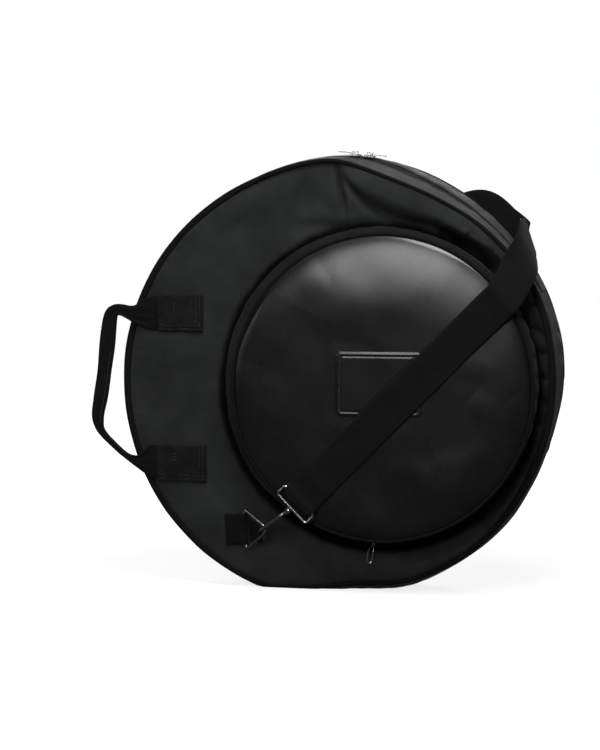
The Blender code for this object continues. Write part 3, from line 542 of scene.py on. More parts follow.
def woven(name, dark, light, low=0.62, high=0.8, pitch=0.0009, depth=0.0001, creases=()):
    """Plain woven cloth: threads over and under each other, with clouds of tone and lint, and
    painted shade darkening the colour inside any ovals listed.
    """
    look = Look(name, Specular_IOR_Level=0.03, Sheen_Weight=0.03, Sheen_Roughness=0.4)
    warp, weft = look.wave(pitch, "X", 0.4), look.wave(pitch, "Y", 0.4)
    over = look.math("MULTIPLY", warp, weft)
    gaps = [look.math("SUBTRACT", 1.0, side) for side in (warp, weft)]
    threads = look.math("ADD", over, look.math("MULTIPLY", *gaps))
    clouds = look.noise(0.07)
    lint = look.remap(look.noise(0.0016, 2.0, 0.7), 0.62, 0.8, 0.0, 0.6)
    haze = look.remap(clouds, 0.3, 0.7, 0.0, 0.5)
    tone = look.math("ADD", look.math("MULTIPLY", threads, 0.35), haze)
    look.colour(look.math("ADD", tone, lint), dark, light)
    # Painted shade in each listed oval.
    for crease in creases:
        look.shade(*crease)
    return look.finish(clouds, low, high, (look.noise(0.02, 2.0), 0.0006), (threads, depth))


def webbing(name, dark, light):
    """Heavy webbing: long ribs crossed by close weft, with fuzzy lighter wear."""
    look = Look(name, Specular_IOR_Level=0.05, Sheen_Weight=0.04, Sheen_Roughness=0.5)
    rib, weft = look.wave(0.0019, "Y", 0.3), look.wave(0.0013, "X", 0.6)
    threads = look.math("ADD", look.math("MULTIPLY", rib, 0.6), look.math("MULTIPLY", weft, 0.4))
    wear = look.remap(look.noise(0.03), 0.35, 0.75, 0.0, 0.5)
    look.colour(look.math("ADD", look.math("MULTIPLY", threads, 0.55), wear), dark, light)
    return look.finish(wear, 0.7, 0.92, (rib, 0.00012), (weft, 0.00012))


def ribbed_tape(name, dark, light, pitch):
    """Thin binding or zip tape, with ribs across its length."""
    look = Look(name, Specular_IOR_Level=0.06, Sheen_Weight=0.015)
    rib, clouds = look.wave(pitch, "X", 0.2), look.noise(0.03)
    haze = look.remap(clouds, 0.3, 0.7, 0, 0.5)
    look.colour(look.math("ADD", look.math("MULTIPLY", rib, 0.4), haze), dark, light)
    return look.finish(clouds, 0.6, 0.85, (rib, 0.0002))


def leathery(name, dark, light):
    """Soft vinyl: a fine grain, slight unevenness and a satin shine."""
    look = Look(name, Specular_IOR_Level=0.46)
    clouds = look.noise(0.05)
    look.colour(look.remap(clouds, 0.3, 0.7, 0, 1), dark, light)
    layers = (look.noise(0.04, 1.0), 0.0001), (look.cells(0.0016), 0.000015)
    return look.finish(clouds, 0.25, 0.30, *layers)


def metal(name, dark, light):
    """Plated metal with fine brushing and duller patches."""
    look = Look(name, "Object", Metallic=1.0)
    patches, brush = look.noise(0.006), look.noise(0.0007, 2.0)
    look.colour(look.remap(patches, 0.3, 0.7, 0, 1), dark, light)
    parts = look.math("MULTIPLY", brush, 0.4), look.math("MULTIPLY", patches, 0.6)
    return look.finish(look.math("ADD", *parts), 0.14, 0.30, (brush, 0.00003))


def thread(name, dark, light):
    """Twisted sewing thread."""
    look = Look(name, "Object", Specular_IOR_Level=0.3, Sheen_Weight=0.2)
    twist = look.noise(0.0006, 1.0)
    look.colour(twist, dark, light)
    return look.finish(twist, 0.6, 0.8, (twist, 0.0001))


# Painted shade on the front: centre, half size, turn, softness and least share of light of the
# ovals in shade, and for the ring round the pocket its inner edge
PAINTED_SHADE_OVALS = [
    ((0.0605, CENTRE_UP - 0.0135), (0.2225, 0.2225), 0, 0.016, 0.08, 0.83),
    ((0.190, CENTRE_UP + 0.166), (0.050, 0.0100), -34, 0.45, 0.07),
    ((0.172, CENTRE_UP + 0.187), (0.036, 0.0060), -22, 0.55, 0.15),
    ((0.009, CENTRE_UP + 0.254), (0.034, 0.0030), -77, 0.7, 0.40),
    ((0.026, CENTRE_UP + 0.252), (0.030, 0.0042), -44, 0.7, 0.50),
    ((0.286, CENTRE_UP + 0.010), (0.024, 0.150), 0, 0.4, 0.50),
]
SHADE = (0.0085, 0.0092, 0.009)
nylon = woven("woven_nylon", SHADE, (0.026, 0.0275, 0.027))
# The front's nylon, with painted shade in those ovals
front_painted_shade_nylon = woven("front_painted_shade_nylon", SHADE, (0.0275, 0.029, 0.0285), creases=PAINTED_SHADE_OVALS)
# Painted light and shade: the gusset's strips are a lighter copy of the nylon, for the band lit
# from above, and the hinge a darker copy than the strips, for the shaded right side
painted_shade_hinge_cloth = woven("painted_shade_hinge_nylon", (0.015, 0.0160, 0.0157), (0.048, 0.0502, 0.0495))
painted_light_gusset_cloth = woven("painted_light_gusset_nylon", (0.025, 0.0268, 0.0263), (0.081, 0.0845, 0.0835), 0.6, 0.78)
# Painted shade: the pocket's gusset cloth is a darker copy of the nylon, for its sides in shade
painted_shade_pocket_cloth = woven("painted_shade_pocket_nylon", (0.0048, 0.005, 0.005), (0.0155, 0.016, 0.016))
lining_cloth = woven(
    "lining_nylon", (0.010, 0.010, 0.011), (0.02, 0.02, 0.021), 0.6, 0.75, 0.0007, 0.00006
)
binding_tape = ribbed_tape(
    "binding_tape", (0.0020, 0.0019, 0.0023), (0.0058, 0.0055, 0.0064), 0.0022
)
zip_cloth = ribbed_tape("zip_tape_cloth", (0.010, 0.010, 0.0105), (0.028, 0.028, 0.029), 0.0012)
vinyl = leathery("soft_vinyl", (0.0016, 0.0017, 0.0020), (0.0030, 0.0032, 0.0038))
strap_cloth = webbing("strap_webbing", (0.0016, 0.0016, 0.0017), (0.0060, 0.0061, 0.0062))
handle_cloth = webbing("handle_webbing", (0.0027, 0.0028, 0.0029), (0.0100, 0.0103, 0.0105))
grip_cloth = webbing("grip_webbing", (0.0014, 0.0014, 0.0016), (0.0052, 0.0052, 0.0056))
dark_steel = metal("dark_steel", (0.26, 0.26, 0.265), (0.46, 0.46, 0.465))
bright_steel = metal("bright_steel", (0.42, 0.42, 0.43), (0.66, 0.66, 0.67))
black_thread = thread("black_thread", (0.005, 0.005, 0.0055), (0.016, 0.016, 0.017))


# ---- Main bag ----

# Folds as a route from the bag's centre, a width and a height, all in millimetres
FRONT_FOLDS = [
    ([(18, 276), (50, 256), (96, 238), (150, 214), (210, 180)], 19, 13.0),
    ([(34, 258), (62, 240), (100, 224), (150, 204), (200, 180)], 12, 4.0),
    ([(16, 262), (40, 238), (64, 220), (91, 209), (118, 204), (145, 200), (168, 188), (190, 176)],
     7, -9.0),
    ([(30, 247), (52, 229), (78, 214), (104, 206), (130, 203), (150, 198), (172, 186), (190, 176)],
     3, -5.0),
    ([(4, 286), (8, 258), (14, 224)], 3.0, -8.0),
    ([(0, 286), (12, 267), (28, 248), (47, 230), (69, 216)], 4.0, -7.0),
    ([(-5, 278), (-3, 256), (3, 226)], 8, 3.0),
    ([(12, 276), (24, 252), (31, 228)], 6, 3.5),
    ([(-56, 215), (-20, 214), (20, 208), (48, 210)], 9, 2.4),
    ([(-66, 202), (-20, 205), (20, 199), (50, 200)], 7, -2.6),
    ([(120, 238), (150, 226), (176, 210)], 5, -2.2),
    ([(186, 194), (202, 184), (218, 172), (236, 157)], 7, 8.0),
    ([(176, 206), (198, 192), (212, 184)], 4, -6.0),
    ([(208, 200), (226, 186), (240, 166)], 4, -6.0),
    ([(232, 156), (250, 128), (262, 100)], 7, 6.0),
    ([(222, 148), (238, 118), (249, 92)], 5, -5.0),
    ([(-262, 60), (-210, 30), (-160, 40)], 20, 2.0),
    ([(-240, -150), (-190, -190), (-120, -225)], 26, 1.4),
    ([(-200, -120), (-160, -170), (-100, -215)], 10, -2.2),
    ([(-60, -232), (0, -252), (70, -262)], 16, 3.0),
    ([(20, -222), (90, -232), (150, -222)], 7, -2.6),
    ([(-90, 262), (-150, 232), (-215, 180)], 18, 2.4),
    ([(-70, 240), (-120, 214), (-170, 176)], 9, -1.8),
    ([(-48, 274), (-62, 250), (-66, 214)], 8, 2.0),
    ([(-36, 278), (-46, 252), (-44, 222)], 6, -2.2),
    ([(196, -206), (226, -172), (250, -130)], 8, 3.5),
    ([(204, -192), (232, -158), (256, -112)], 5, -3.5),
    ([(90, -262), (150, -244), (205, -212)], 9, 3.5),
    ([(110, -244), (160, -228), (200, -200)], 5, -3.0),
]
BACK_FOLDS = [
    ([(-210, 90), (-60, 140), (120, 110)], 30, 3.0),
    ([(-180, -60), (-20, -20), (160, -70)], 26, 2.5),
    ([(-120, -190), (0, -160), (140, -180)], 22, 2.5),
    ([(-60, 60), (10, 20), (60, -60)], 14, -2.0),
    ([(90, 210), (140, 160), (220, 120)], 12, 3.0),
    ([(70, 220), (120, 186), (190, 150)], 6, -2.5),
]
PULL_PARKED = [(160, 134), (216, 222)]


def puckers(x, up, count, seed):
    """Small puckers in the cloth next to the seam."""
    wave = np.sin(np.arctan2(up, x) * count + ripple(x, up, 0.09, seed) * 1.5)
    return step(np.hypot(x, up), 0.262, 0.292) * (np.abs(wave) - 0.6)


def side_gathers(x, up):
    """Short bunched lumps on the narrow strip right of the pocket, with creases between them."""
    room = step(x, 0.250, 0.266) * window(up, -0.11, 0.125, 0.02)
    strong = 0.4 + 0.6 * window(up, -0.03, 0.12, 0.02)
    along = up + 0.25 * (x - 0.285) - 0.001 + ripple(x, up, 0.06, 5) * 0.003
    return room * strong * bunched(along, 0.031) * 0.015


def front_relief(x, up):
    """How far the front panel's cloth stands proud, in metres."""
    height = ripple(x, up, 0.14, 11) * 0.0009 + ripple(x, up, 0.05, 12) * 0.0002
    height = height + folds(x, up, FRONT_FOLDS)
    height = height + puckers(x, up, 61, 14) * 0.0007 + side_gathers(x, up)
    lean = np.clip((up - 0.185) / 0.1, 0, 1) ** 1.2 * step(-x, -0.16, 0.0)
    height = height - 0.0048 * lean
    parked = fold(x, up, PULL_PARKED, 11, 1000)
    height = np.minimum(height, 0.0050 + 0.02 * (1 - np.clip(parked * 1.8, 0, 1)))
    apart = np.hypot(x - POCKET[0], up - POCKET[1]) - POCKET_RADIUS
    height = height * step(apart, -0.004, 0.008)
    degrees = np.degrees(np.arctan2(up - POCKET[1], x - POCKET[0])) % 360
    lower = window(degrees, 190, 268, 14)
    deep = np.maximum(window(degrees, 44, 74, 6), window(degrees, 182, 292, 12))
    deep = 0.35 + 0.65 * deep
    far = 0.012 + 0.004 * lower
    trough = step(apart, 0, 0.005) * (1 - step(apart, far, far + 0.010))
    return height * (1 - trough * deep) - 0.0058 * deep * trough


def back_relief(x, up):
    """How far the back panel's cloth stands proud, in metres."""
    height = ripple(x, up, 0.16, 21) * 0.0012 + ripple(x, up, 0.05, 22) * 0.0004
    height = height + folds(x, up, BACK_FOLDS) + puckers(x, up, 57, 24) * 0.0009
    held = window(x, -0.16, 0.20, 0.01) * window(up, 0.185, 0.245, 0.008)
    return height * (1 - held)


def make_panel(word, body, side, relief, look, steps):
    """A padded panel with its lining and its binding. side is 1 in front and -1 behind."""

    def half_seam(turn):
        return table(turn, SEAM_HALF) if side > 0 else np.full(np.shape(turn), BACK_SEAM_HALF)

    turn = np.linspace(0, 2 * math.pi, steps + 1)[:-1]
    share = np.concatenate([np.linspace(0, 0.62, 34)[1:], np.linspace(0.62, 1, 52)[1:]])
    seam = (rim(turn, side * SEAM_DEPTH) - half_seam(turn) * 1.3)[:, None]
    radius = share[None] * seam
    flat = round_bag(radius, turn[:, None], 0)
    x, up = flat[..., 0], flat[..., 2] - CENTRE_UP
    to_seam = seam - radius
    face = PANEL_DEPTH - shoulder(to_seam, 0.028, 2.2) * 0.0052
    face = face + relief(x, up) * step(to_seam, 0, 0.006)
    under = PANEL_UNDER + step(0.02 - to_seam, 0, 0.02) * 0.0005
    face = np.maximum(face, under + 0.0012)
    hubs = (side * face[:, :1].mean(), side * PANEL_UNDER)
    nodes = (f"{word}_panel_skin", f"{word}_panel_foam")
    name = f"{word}_panel"
    panel = pad(name, flat, (0, 0), side * face, side * under, hubs, look, "nylon", nodes)
    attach(panel, body)

    inside = flat[:, ::3]
    quilt = ripple(inside[..., 0], inside[..., 2], 0.06, 31 + side) * 0.0004
    hubs = [side * depth for depth in PANEL_LINING]
    near, far = side * (PANEL_LINING[0] + quilt), hubs[1]
    name, nodes = f"{word}_lining", (f"{word}_panel_lining",)
    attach(pad(name, inside, (0, 0), near, far, hubs, lining_cloth, "lining", nodes), body)

    def place(turn, outward, depth):
        half = half_seam(turn)
        uneven = 1 + 0.05 * ripple(turn * BAG_RADIUS, depth * 0, 0.05, 41 + side)
        middle = rim(turn, side * SEAM_DEPTH) - half * 0.9
        level = side * BINDING_DEPTH
        level = level + (depth - level) * (0.55 + 0.45 * half / 0.0052)
        return round_bag(middle + outward * half * uneven, turn, level)

    profile = oval_profile(1.0, 0.0034, 0.0, side * BINDING_DEPTH)
    name, nodes = f"{word}_binding", (f"{word}_piping",)
    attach(sweep(name, place, profile, (0, 360), binding_tape, "binding", nodes), body)


def gusset_place(turn, outward, depth):
    """Places on the gusset's cloth, a little wrinkled, and gathered at the right."""
    along = turn * BAG_RADIUS
    degrees = np.degrees(turn)
    loose = 0.0009 + 0.0022 * np.exp(-(((degrees + 180) % 360 - 180 - 8) / 20.0) ** 2)
    slack = window(degrees, 28, 80, 8) * 0.0016
    wave = (crumple(along, depth * 0.6, 0.05, 51) - 0.35) * (loose + slack)
    from_zip = depth - ZIP_DEPTH
    edge = window(depth, -0.034, 0.037, 0.003) * (1 - np.exp(-((from_zip / 0.013) ** 2)))
    near = window(degrees, 34, 76, 5) * 0.0045
    to_zip = near * np.exp(-np.abs(from_zip) / 0.012) * 1.9 * np.sign(-from_zip)
    return round_bag(rim(turn, depth) - 0.0004 + outward + wave * edge, turn, depth + to_zip)


def main_zip_place(turn, radius, depth):
    """Places on the main zip, which follows the bag's outline."""
    return round_bag(rim(turn, depth) - BAG_RADIUS + radius, turn, depth)


def pocket_zip_place(turn, radius, depth):
    """Places on the pocket's zip."""
    return round_pocket(radius, turn, depth)


def make_zip(name, place, way, crown, teeth_depth, tucked_depth, span, nodes, radius):
    """One half of a coil zip: its tape from the tucked edge, and the coil's turns along it."""
    tape = crown - 0.0016
    edge = teeth_depth + way * 0.0002
    profile = np.array([
        (tape - 0.0010, tucked_depth),
        (tape - 0.0010, edge),
        (crown - 0.0003, edge),
        (crown, teeth_depth + way * 0.0011),
        (crown - 0.0003, teeth_depth + way * 0.0022),
        (tape, teeth_depth + way * 0.0028),
        (tape, tucked_depth),
    ])
    turn = angles(span, COIL_PITCH / 4, radius)
    phase = turn * radius * 2 * math.pi / COIL_PITCH + (0 if way > 0 else math.pi)
    pulse = (0.5 + 0.5 * np.cos(phase))[:, None]
    lift = np.array([0, 0, 1, 1, 1, 0.3, 0])[None] * (pulse - 1.0) * 0.0009
    lean = np.array([0, 1, 1, 0.3, 0, 0, 0])[None] * (pulse - 0.5) * -way * 0.0007
    points = place(turn[:, None], profile[None, :, 0] + lift, profile[None, :, 1] + lean)
    uv = lay(turn, profile, radius)
    return skin(name, points, uv, zip_cloth, "zip", nodes, (False, True), caps=True)


def make_main_gusset():
    """The strips on both sides of the zip, the hinge's gusset and the zip's two halves."""
    around = (HINGE_DEG, 360 - HINGE_DEG)
    sides = (("front", "front_cover", 1), ("rear", "back_shell", -1))
    for (word, body, _), band in zip(sides, ((GUSSET_EDGE, 0.024, 12), (0.006, -GUSSET_EDGE, 22))):
        name, nodes = f"{word}_gusset", (f"{word}_gusset_strip",)
        profile = flat_profile(*band)
        strip = sweep(name, gusset_place, profile, around, painted_light_gusset_cloth, "nylon", nodes, 0.004)
        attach(strip, body)
    profile = flat_profile(GUSSET_EDGE, -GUSSET_EDGE, 34)
    span, nodes = (-HINGE_DEG, HINGE_DEG), ("hinge_gusset",)
    hinge = sweep("hinge_side", gusset_place, profile, span, painted_shade_hinge_cloth, "nylon", nodes, 0.003)
    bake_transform(hinge)
    for (word, body, way), tucked in zip(sides, (0.028, 0.002)):
        name, nodes = f"{word}_zip", (f"{word}_zip_tape",)
        line = (way, TEETH_CROWN, ZIP_DEPTH, tucked)
        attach(make_zip(name, main_zip_place, *line, around, nodes, BAG_RADIUS), body)
    turn = angles(around, 0.004, BAG_RADIUS)
    for (word, body, _), depth in zip(sides, (0.0262, 0.0038)):
        route = gusset_place(turn, np.full(turn.shape, 0.0002), np.full(turn.shape, depth))
        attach(stitches(f"{word}_gusset_stitches", [(route, *STITCH)]), body)


make_panel("front", "front_cover", 1, front_relief, front_painted_shade_nylon, 720)
make_panel("back", "back_shell", -1, back_relief, nylon, 420)
make_main_gusset()

# ---- Pocket ----

VINYL_FOLDS = [
    ([(70, -128), (112, -122), (150, -134)], 17, 1.6),
    ([(120, -150), (152, -150), (190, -138)], 15, 1.4),
    ([(140, -118), (190, -112), (228, -96)], 18, 1.2),
    ([(196, -20), (226, -42), (244, -76)], 16, 1.3),
    ([(186, 26), (222, 10), (250, -22)], 18, 1.2),
    ([(100, -196), (140, -150), (196, -96)], 30, 0.7),
    ([(40, -150), (96, -118), (150, -96)], 22, -1.0),
    ([(160, -160), (205, -110), (240, -40)], 20, 0.6),
    ([(-110, 20), (-80, 110), (-10, 160)], 28, 1.2),
    ([(-60, -120), (0, -150), (60, -190)], 26, 1.2),
    ([(0, 96), (60, 88), (140, 100)], 30, 0.6),
    ([(-90, -40), (-50, 20), (-20, 90)], 28, -1.0),
]


def halves(name):
    """The two CAD nodes on both sides of the fold line."""
    return [f"{name}_base", f"{name}_flap"]


def bend_pocket(piece):
    """Bakes the place of a piece of the pocket's cover into its mesh."""
    centre = at(*POCKET, POCKET_FACE)
    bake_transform(piece)


def hold_pocket(piece):
    """Holds a piece of the pocket to the front panel."""
    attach(piece, "front_cover")


def cover_edge(turn):
    """Radius of the vinyl's edge, which hangs a little low."""
    return 0.2013 - 0.0045 * np.sin(turn)


def pocket_cloth_place(turn, outward, depth):
    """Places on the pocket's gusset, which bellies out at the left and the top."""
    along = turn * POCKET_RADIUS
    degrees = np.degrees(turn) % 360
    wave = (crumple(along, depth * 0.7, 0.05, 61) - 0.35) * 0.0013
    right = np.maximum(window(degrees, -40, 30, 8), window(degrees, 330, 400, 8))
    wave = wave + right * bunched(along, 0.027) * 0.003
    edge = window(depth, 0.0495, 0.0865, 0.0025)
    share = np.clip((depth - 0.064) / 0.024, 0, 1)
    belly = table(turn, POCKET_BELLY)
    flare = belly * 0.45 * step(0.052 - depth, 0, 0.0052)
    belly = belly * np.sin(math.pi * share**0.85) ** 0.7
    reach = (cover_edge(turn) + 0.0022 - POCKET_RADIUS) * share**2
    depth = depth - table(turn, COVER_DROP) * share**1.5
    radius = POCKET_RADIUS - 0.0003 + outward + wave * edge + belly + flare + reach
    return round_pocket(radius, turn, depth)


def patch_field(x, up, low, high, soft, corner):
    """One inside a rounded upright rectangle in millimetres, nought outside."""
    middle, half = (np.add(low, high)) / 2 * MM, (np.subtract(high, low)) / 2 * MM
    apart = [np.abs(place - middle[k]) - half[k] + corner for k, place in enumerate((x, up))]
    outside = np.linalg.norm(np.maximum(np.stack(apart, -1), 0), axis=-1) - corner
    return 1 - step(outside, -soft, soft)


def make_pocket_cover():
    """The padded vinyl cover with its plain patch, its lining and the binding round it."""
    turn = np.linspace(0, 2 * math.pi, 421)[:-1]
    edge = cover_edge(turn)[:, None]
    share = np.concatenate([np.linspace(0, 0.85, 130)[1:], np.linspace(0.85, 1, 28)[1:]])
    radius = share[None] * edge
    flat = round_pocket(radius, turn[:, None], 0)
    x, up = flat[..., 0], flat[..., 2] - CENTRE_UP
    to_seam = edge - radius
    fall = shoulder(to_seam, 0.030, 2.4)
    relief = ripple(x, up, 0.13, 71) * 0.0004 + ripple(x, up, 0.05, 72) * 0.00006
    relief = relief + folds(x, up, VINYL_FOLDS)
    patch = patch_field(x, up, (15, -48), (130, 35), 0.0008, 0.006)
    groove = patch_field(x, up, (18.6, -44.4), (126.4, 31.4), 0.0005, 0.005)
    groove = groove - patch_field(x, up, (20.4, -42.6), (124.6, 29.6), 0.0005, 0.004)
    relief = relief * (1 - 0.8 * patch_field(x, up, (5, -58), (140, 45), 0.008, 0.012))
    relief = relief + patch * 0.0009 - groove * 0.0006
    to_strap = (x - POCKET[0]) * STRAP_ACROSS[0] + (up - POCKET[1]) * STRAP_ACROSS[2]
    under_strap = np.abs(to_strap - STRAP_OFFSET) < 0.027
    relief = np.where(under_strap, np.minimum(relief, 0.0006), relief)
    lean = np.clip(1 - to_seam / 0.100, 0, 1) ** 2 * table(turn, COVER_DROP)[:, None]
    face = POCKET_FACE + 0.0002 - fall * 0.0030 - lean + relief * step(to_seam, 0, 0.006)
    sunk = lean + fall * 0.0012
    hubs = (face[:, :1].mean(), COVER_UNDER)
    nodes = halves("pocket_skin") + halves("pocket_foam")
    name = "pocket_cover"
    cover = pad(name, flat, POCKET, face, COVER_UNDER - sunk, hubs, vinyl, "vinyl", nodes, 3)
    bend_pocket(cover)
    border = np.array([(0.044, -0.0435), (0.0195, -0.0435), (0.0195, 0.0305), (0.119, 0.0305)])
    route = at(*border.T, POCKET_FACE + 0.0007)
    bend_pocket(stitches("pocket_patch_stitches", [(route, 0.0036, 0.0027, 0.0004)]))

    inside, sunk = flat[:, ::4], sunk[:, ::4]
    near, far = COVER_LINING
    quilt = ripple(inside[..., 0], inside[..., 2], 0.05, 74) * 0.0002
    sheets = (near + quilt - sunk, far - sunk)
    name, nodes = "pocket_lining", halves("pocket_lining")
    bend_pocket(pad(name, inside, POCKET, *sheets, COVER_LINING, lining_cloth, "lining", nodes))

    def place(turn, outward, depth):
        return round_pocket(cover_edge(turn) + outward, turn, depth - table(turn, COVER_DROP))

    line = (place, oval_profile(0.0027, 0.0026, 0.0021, 0.0896), (0, 360), binding_tape)
    nodes = halves("pocket_piping")
    bend_pocket(sweep("pocket_binding", *line, "binding", nodes, 0.004, POCKET_RADIUS))


def make_pocket_gusset():
    """The pocket's strips, its zip and the stitching along it."""
    whole = (FOLD_DEG, FOLD_DEG + 360)
    closed = (ZIP_END_DEG + 0.1, FOLD_DEG + 359.9)
    for name, band, span, nodes, carry in (
        ("front", (0.088, 0.0640, 16), whole, halves("pocket_front_strip"), bend_pocket),
        ("back", (0.052, 0.0468, 8), whole, ["pocket_rear_strip"], hold_pocket),
        ("plain", (0.0637, 0.0523, 8), closed, ["pocket_closing_strip"], hold_pocket),
    ):
        line = (pocket_cloth_place, flat_profile(*band), span, painted_shade_pocket_cloth, "nylon", nodes)
        carry(sweep(f"pocket_{name}_strip", *line, 0.0035, POCKET_RADIUS))
    opening = (FOLD_DEG, ZIP_END_DEG)
    for word, way, tucked, nodes, carry in (
        ("front", 1, 0.068, halves("pocket_front_zip_tape"), bend_pocket),
        ("back", -1, 0.048, ["pocket_rear_zip_tape"], hold_pocket),
    ):
        line = (pocket_zip_place, way, POCKET_TEETH_CROWN, POCKET_ZIP_DEPTH, tucked)
        carry(make_zip(f"pocket_{word}_zip", *line, opening, nodes, POCKET_RADIUS))
    turn = angles(opening, 0.003, POCKET_RADIUS)
    for word, depth, carry in (("front", 0.0660, bend_pocket), ("back", 0.0502, hold_pocket)):
        route = pocket_cloth_place(turn, np.full(turn.shape, 0.0002), np.full(turn.shape, depth))
        carry(stitches(f"pocket_{word}_stitches", [(route, *STITCH)]))


def make_pocket_pull():
    """The long oval pull, which hangs from its slider with a twist and so shows its flat side."""
    low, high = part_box("pocket_pull")
    radius, bar, steps = 0.0034, 0.0007, 23
    straight = high[2] - low[2] - 2 * (radius + bar) + 0.004
    arc = np.linspace(0, math.pi, 17)
    down = np.linspace(0, 1, steps + 2)[1:-1] * straight
    leg = np.full(steps, radius)
    across = np.concatenate([radius * np.cos(arc), -leg, -radius * np.cos(arc), leg])
    ends = (-radius * np.sin(arc), straight + radius * np.sin(arc))
    path = np.stack([across, np.concatenate([ends[0], down, ends[1], down[::-1]])], -1)
    way = unit(np.roll(path, -1, 0) - np.roll(path, 1, 0))
    side = np.stack([-way[:, 1], way[:, 0]], -1)
    turn = np.arange(10) * 2 * math.pi / 10
    flat = path[:, None] + side[:, None] * (np.cos(turn)[None, :, None] * bar)
    across, drop = flat[..., 0], flat[..., 1]
    thick = np.sin(turn)[None] * bar * 0.8
    twist = math.radians(72) * step(drop, 0.005, 0.017)
    drift = (drop * math.sin(math.radians(8)) + 0.0020) * step(drop, 0.004, 0.016)
    x = across * np.sin(twist) + thick * np.cos(twist) - drift
    y = across * np.cos(twist) - thick * np.sin(twist)
    points = np.stack([x, y, -radius - drop], -1) + PULL_PIVOT
    uv = lattice(np.linspace(0, 0.07, len(path) + 1), np.linspace(0, 0.004, 11))
    look, nodes = (bright_steel, "bright_metal"), ["pocket_pull"]
    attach(skin("pocket_pull_oval", points, uv, *look, nodes, (True, True)), "pocket_pull_body")


make_pocket_cover()
make_pocket_gusset()
make_pocket_pull()

# ---- Handle ----

# Right, up, half width and half thickness of the loop's webbing, in millimetres
HANDLE_ROUTE = [
    (-250.8, 84, 23.2, 1.9), (-260, 83.6, 22.8, 2.0), (-270, 83, 19, 2.5), (-281, 83, 13, 3.3),
    (-290, 85, 9.4, 3.9), (-300, 88, 8.0, 4.0), (-309, 88, 8.2, 4.0), (-315.4, 82.5, 9.8, 3.9),
    (-318.2, 72, 11.0, 3.8), (-320.2, 56, 11.2, 3.8), (-323.2, 28, 10.6, 3.9),
    (-327.2, -4, 10.2, 3.9), (-332.0, -34, 9.8, 3.9), (-335.6, -54, 9.4, 4.0),
    (-335.4, -66, 8.2, 4.0), (-332, -77, 5.6, 4.4), (-325, -86, 4.4, 4.8), (-315.5, -95, 4.0, 5.0),
    (-303, -106, 4.0, 5.0), (-292, -114, 4.6, 4.9), (-281, -119, 7.5, 4.5),
    (-272, -120.5, 13, 3.7), (-264, -120.5, 20, 2.6), (-257, -120, 23.0, 2.0),
    (-250.8, -120, 23.2, 1.9),
]


def rounded_slab(name, centre, size, look, nodes, wave):
    """A soft flat block of folded webbing, its face a little uneven, with rounded edges."""
    width, height, thickness = size
    count = 81
    side = np.linspace(-1, 1, count)
    bow = np.sign(side) * (1 - (1 - np.abs(side)) ** 1.1)
    x, up = np.moveaxis(lattice(bow * width / 2, bow * height / 2), -1, 0)
    near = np.maximum(np.abs(x) - width / 2 + 0.0016, np.abs(up) - height / 2 + 0.0016)
    top = thickness - 0.0012 * step(near, 0, 0.0016) + wave(x, up)
    face, back = (at(centre[0] + x, centre[1] + up, centre[2] + rise) for rise in (top, 0))
    points = np.concatenate([face, back[::-1]], 0).reshape(-1, 3)
    index = np.arange(2 * count * count).reshape(2 * count, count)
    faces = []
    for i in (*range(count - 1), *range(count, 2 * count - 1)):
        for j in range(count - 1):
            faces.append((index[i, j], index[i + 1, j], index[i + 1, j + 1], index[i, j + 1]))
    border = [(0, j) for j in range(count)] + [(i, count - 1) for i in range(1, count)]
    border += [(count - 1, j) for j in range(count - 2, -1, -1)]
    border += [(i, 0) for i in range(count - 2, 0, -1)]
    for (i, j), (k, m) in zip(border, border[1:] + border[:1]):
        faces.append((index[i, j], index[k, m], index[-1 - k, m], index[-1 - i, j]))
    corners = points[np.concatenate(faces)][:, [0, 2]]
    return build(name, points, faces, corners, look, nodes)


def make_handle_end(word, up, width):
    """A sewn end of the handle, with stitching along its border and a few bars."""
    right, low = HANDLE_LEFT + width - 0.0045, up - 0.0205

    def wave(x, y):
        sewn = np.minimum(np.abs(x - width / 2 + 0.0045), np.abs(y + 0.0205))
        second = np.minimum(np.abs(x - width / 2 + 0.0095), np.abs(y + 0.0160))
        second = second + 0.01 * (x < -0.022)
        lines = np.exp(-((sewn / 0.0010) ** 2)) + 0.7 * np.exp(-((second / 0.0009) ** 2))
        soft = 0.0006 * ripple(x, y, 0.03, 81) + 0.0004 * ripple(x, y, 0.014, 82)
        return soft - 0.0009 * (step(-x, 0.016, 0.033) + np.clip(lines, 0, 1)) - 0.0003

    name, nodes = f"handle_end_{word}", [f"handle_anchor_{word}"]
    centre, size = (HANDLE_LEFT + width / 2, up, 0.0466), (width, 0.050, 0.0048)
    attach(rounded_slab(name, centre, size, handle_cloth, nodes, wave), "front_cover")
    rows = []
    for inset in (0, 0.005):
        start, end = (right - inset, up + 0.0235), (HANDLE_LEFT + 0.003, low + inset)
        corner = np.array([start, (right - inset, low + inset), end])
        rows.append((at(*corner.T, 0.0502), 0.0034, 0.0024, 0.0004))
    for level in (0.0130, 0.0088, 0.0046):
        route = at(np.array([-0.2262, -0.2102]), up + level, 0.0511)
        rows.append((route, 0.0040, 0.0036, 0.0006))
    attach(stitches(f"handle_stitches_{word}", rows), "front_cover")


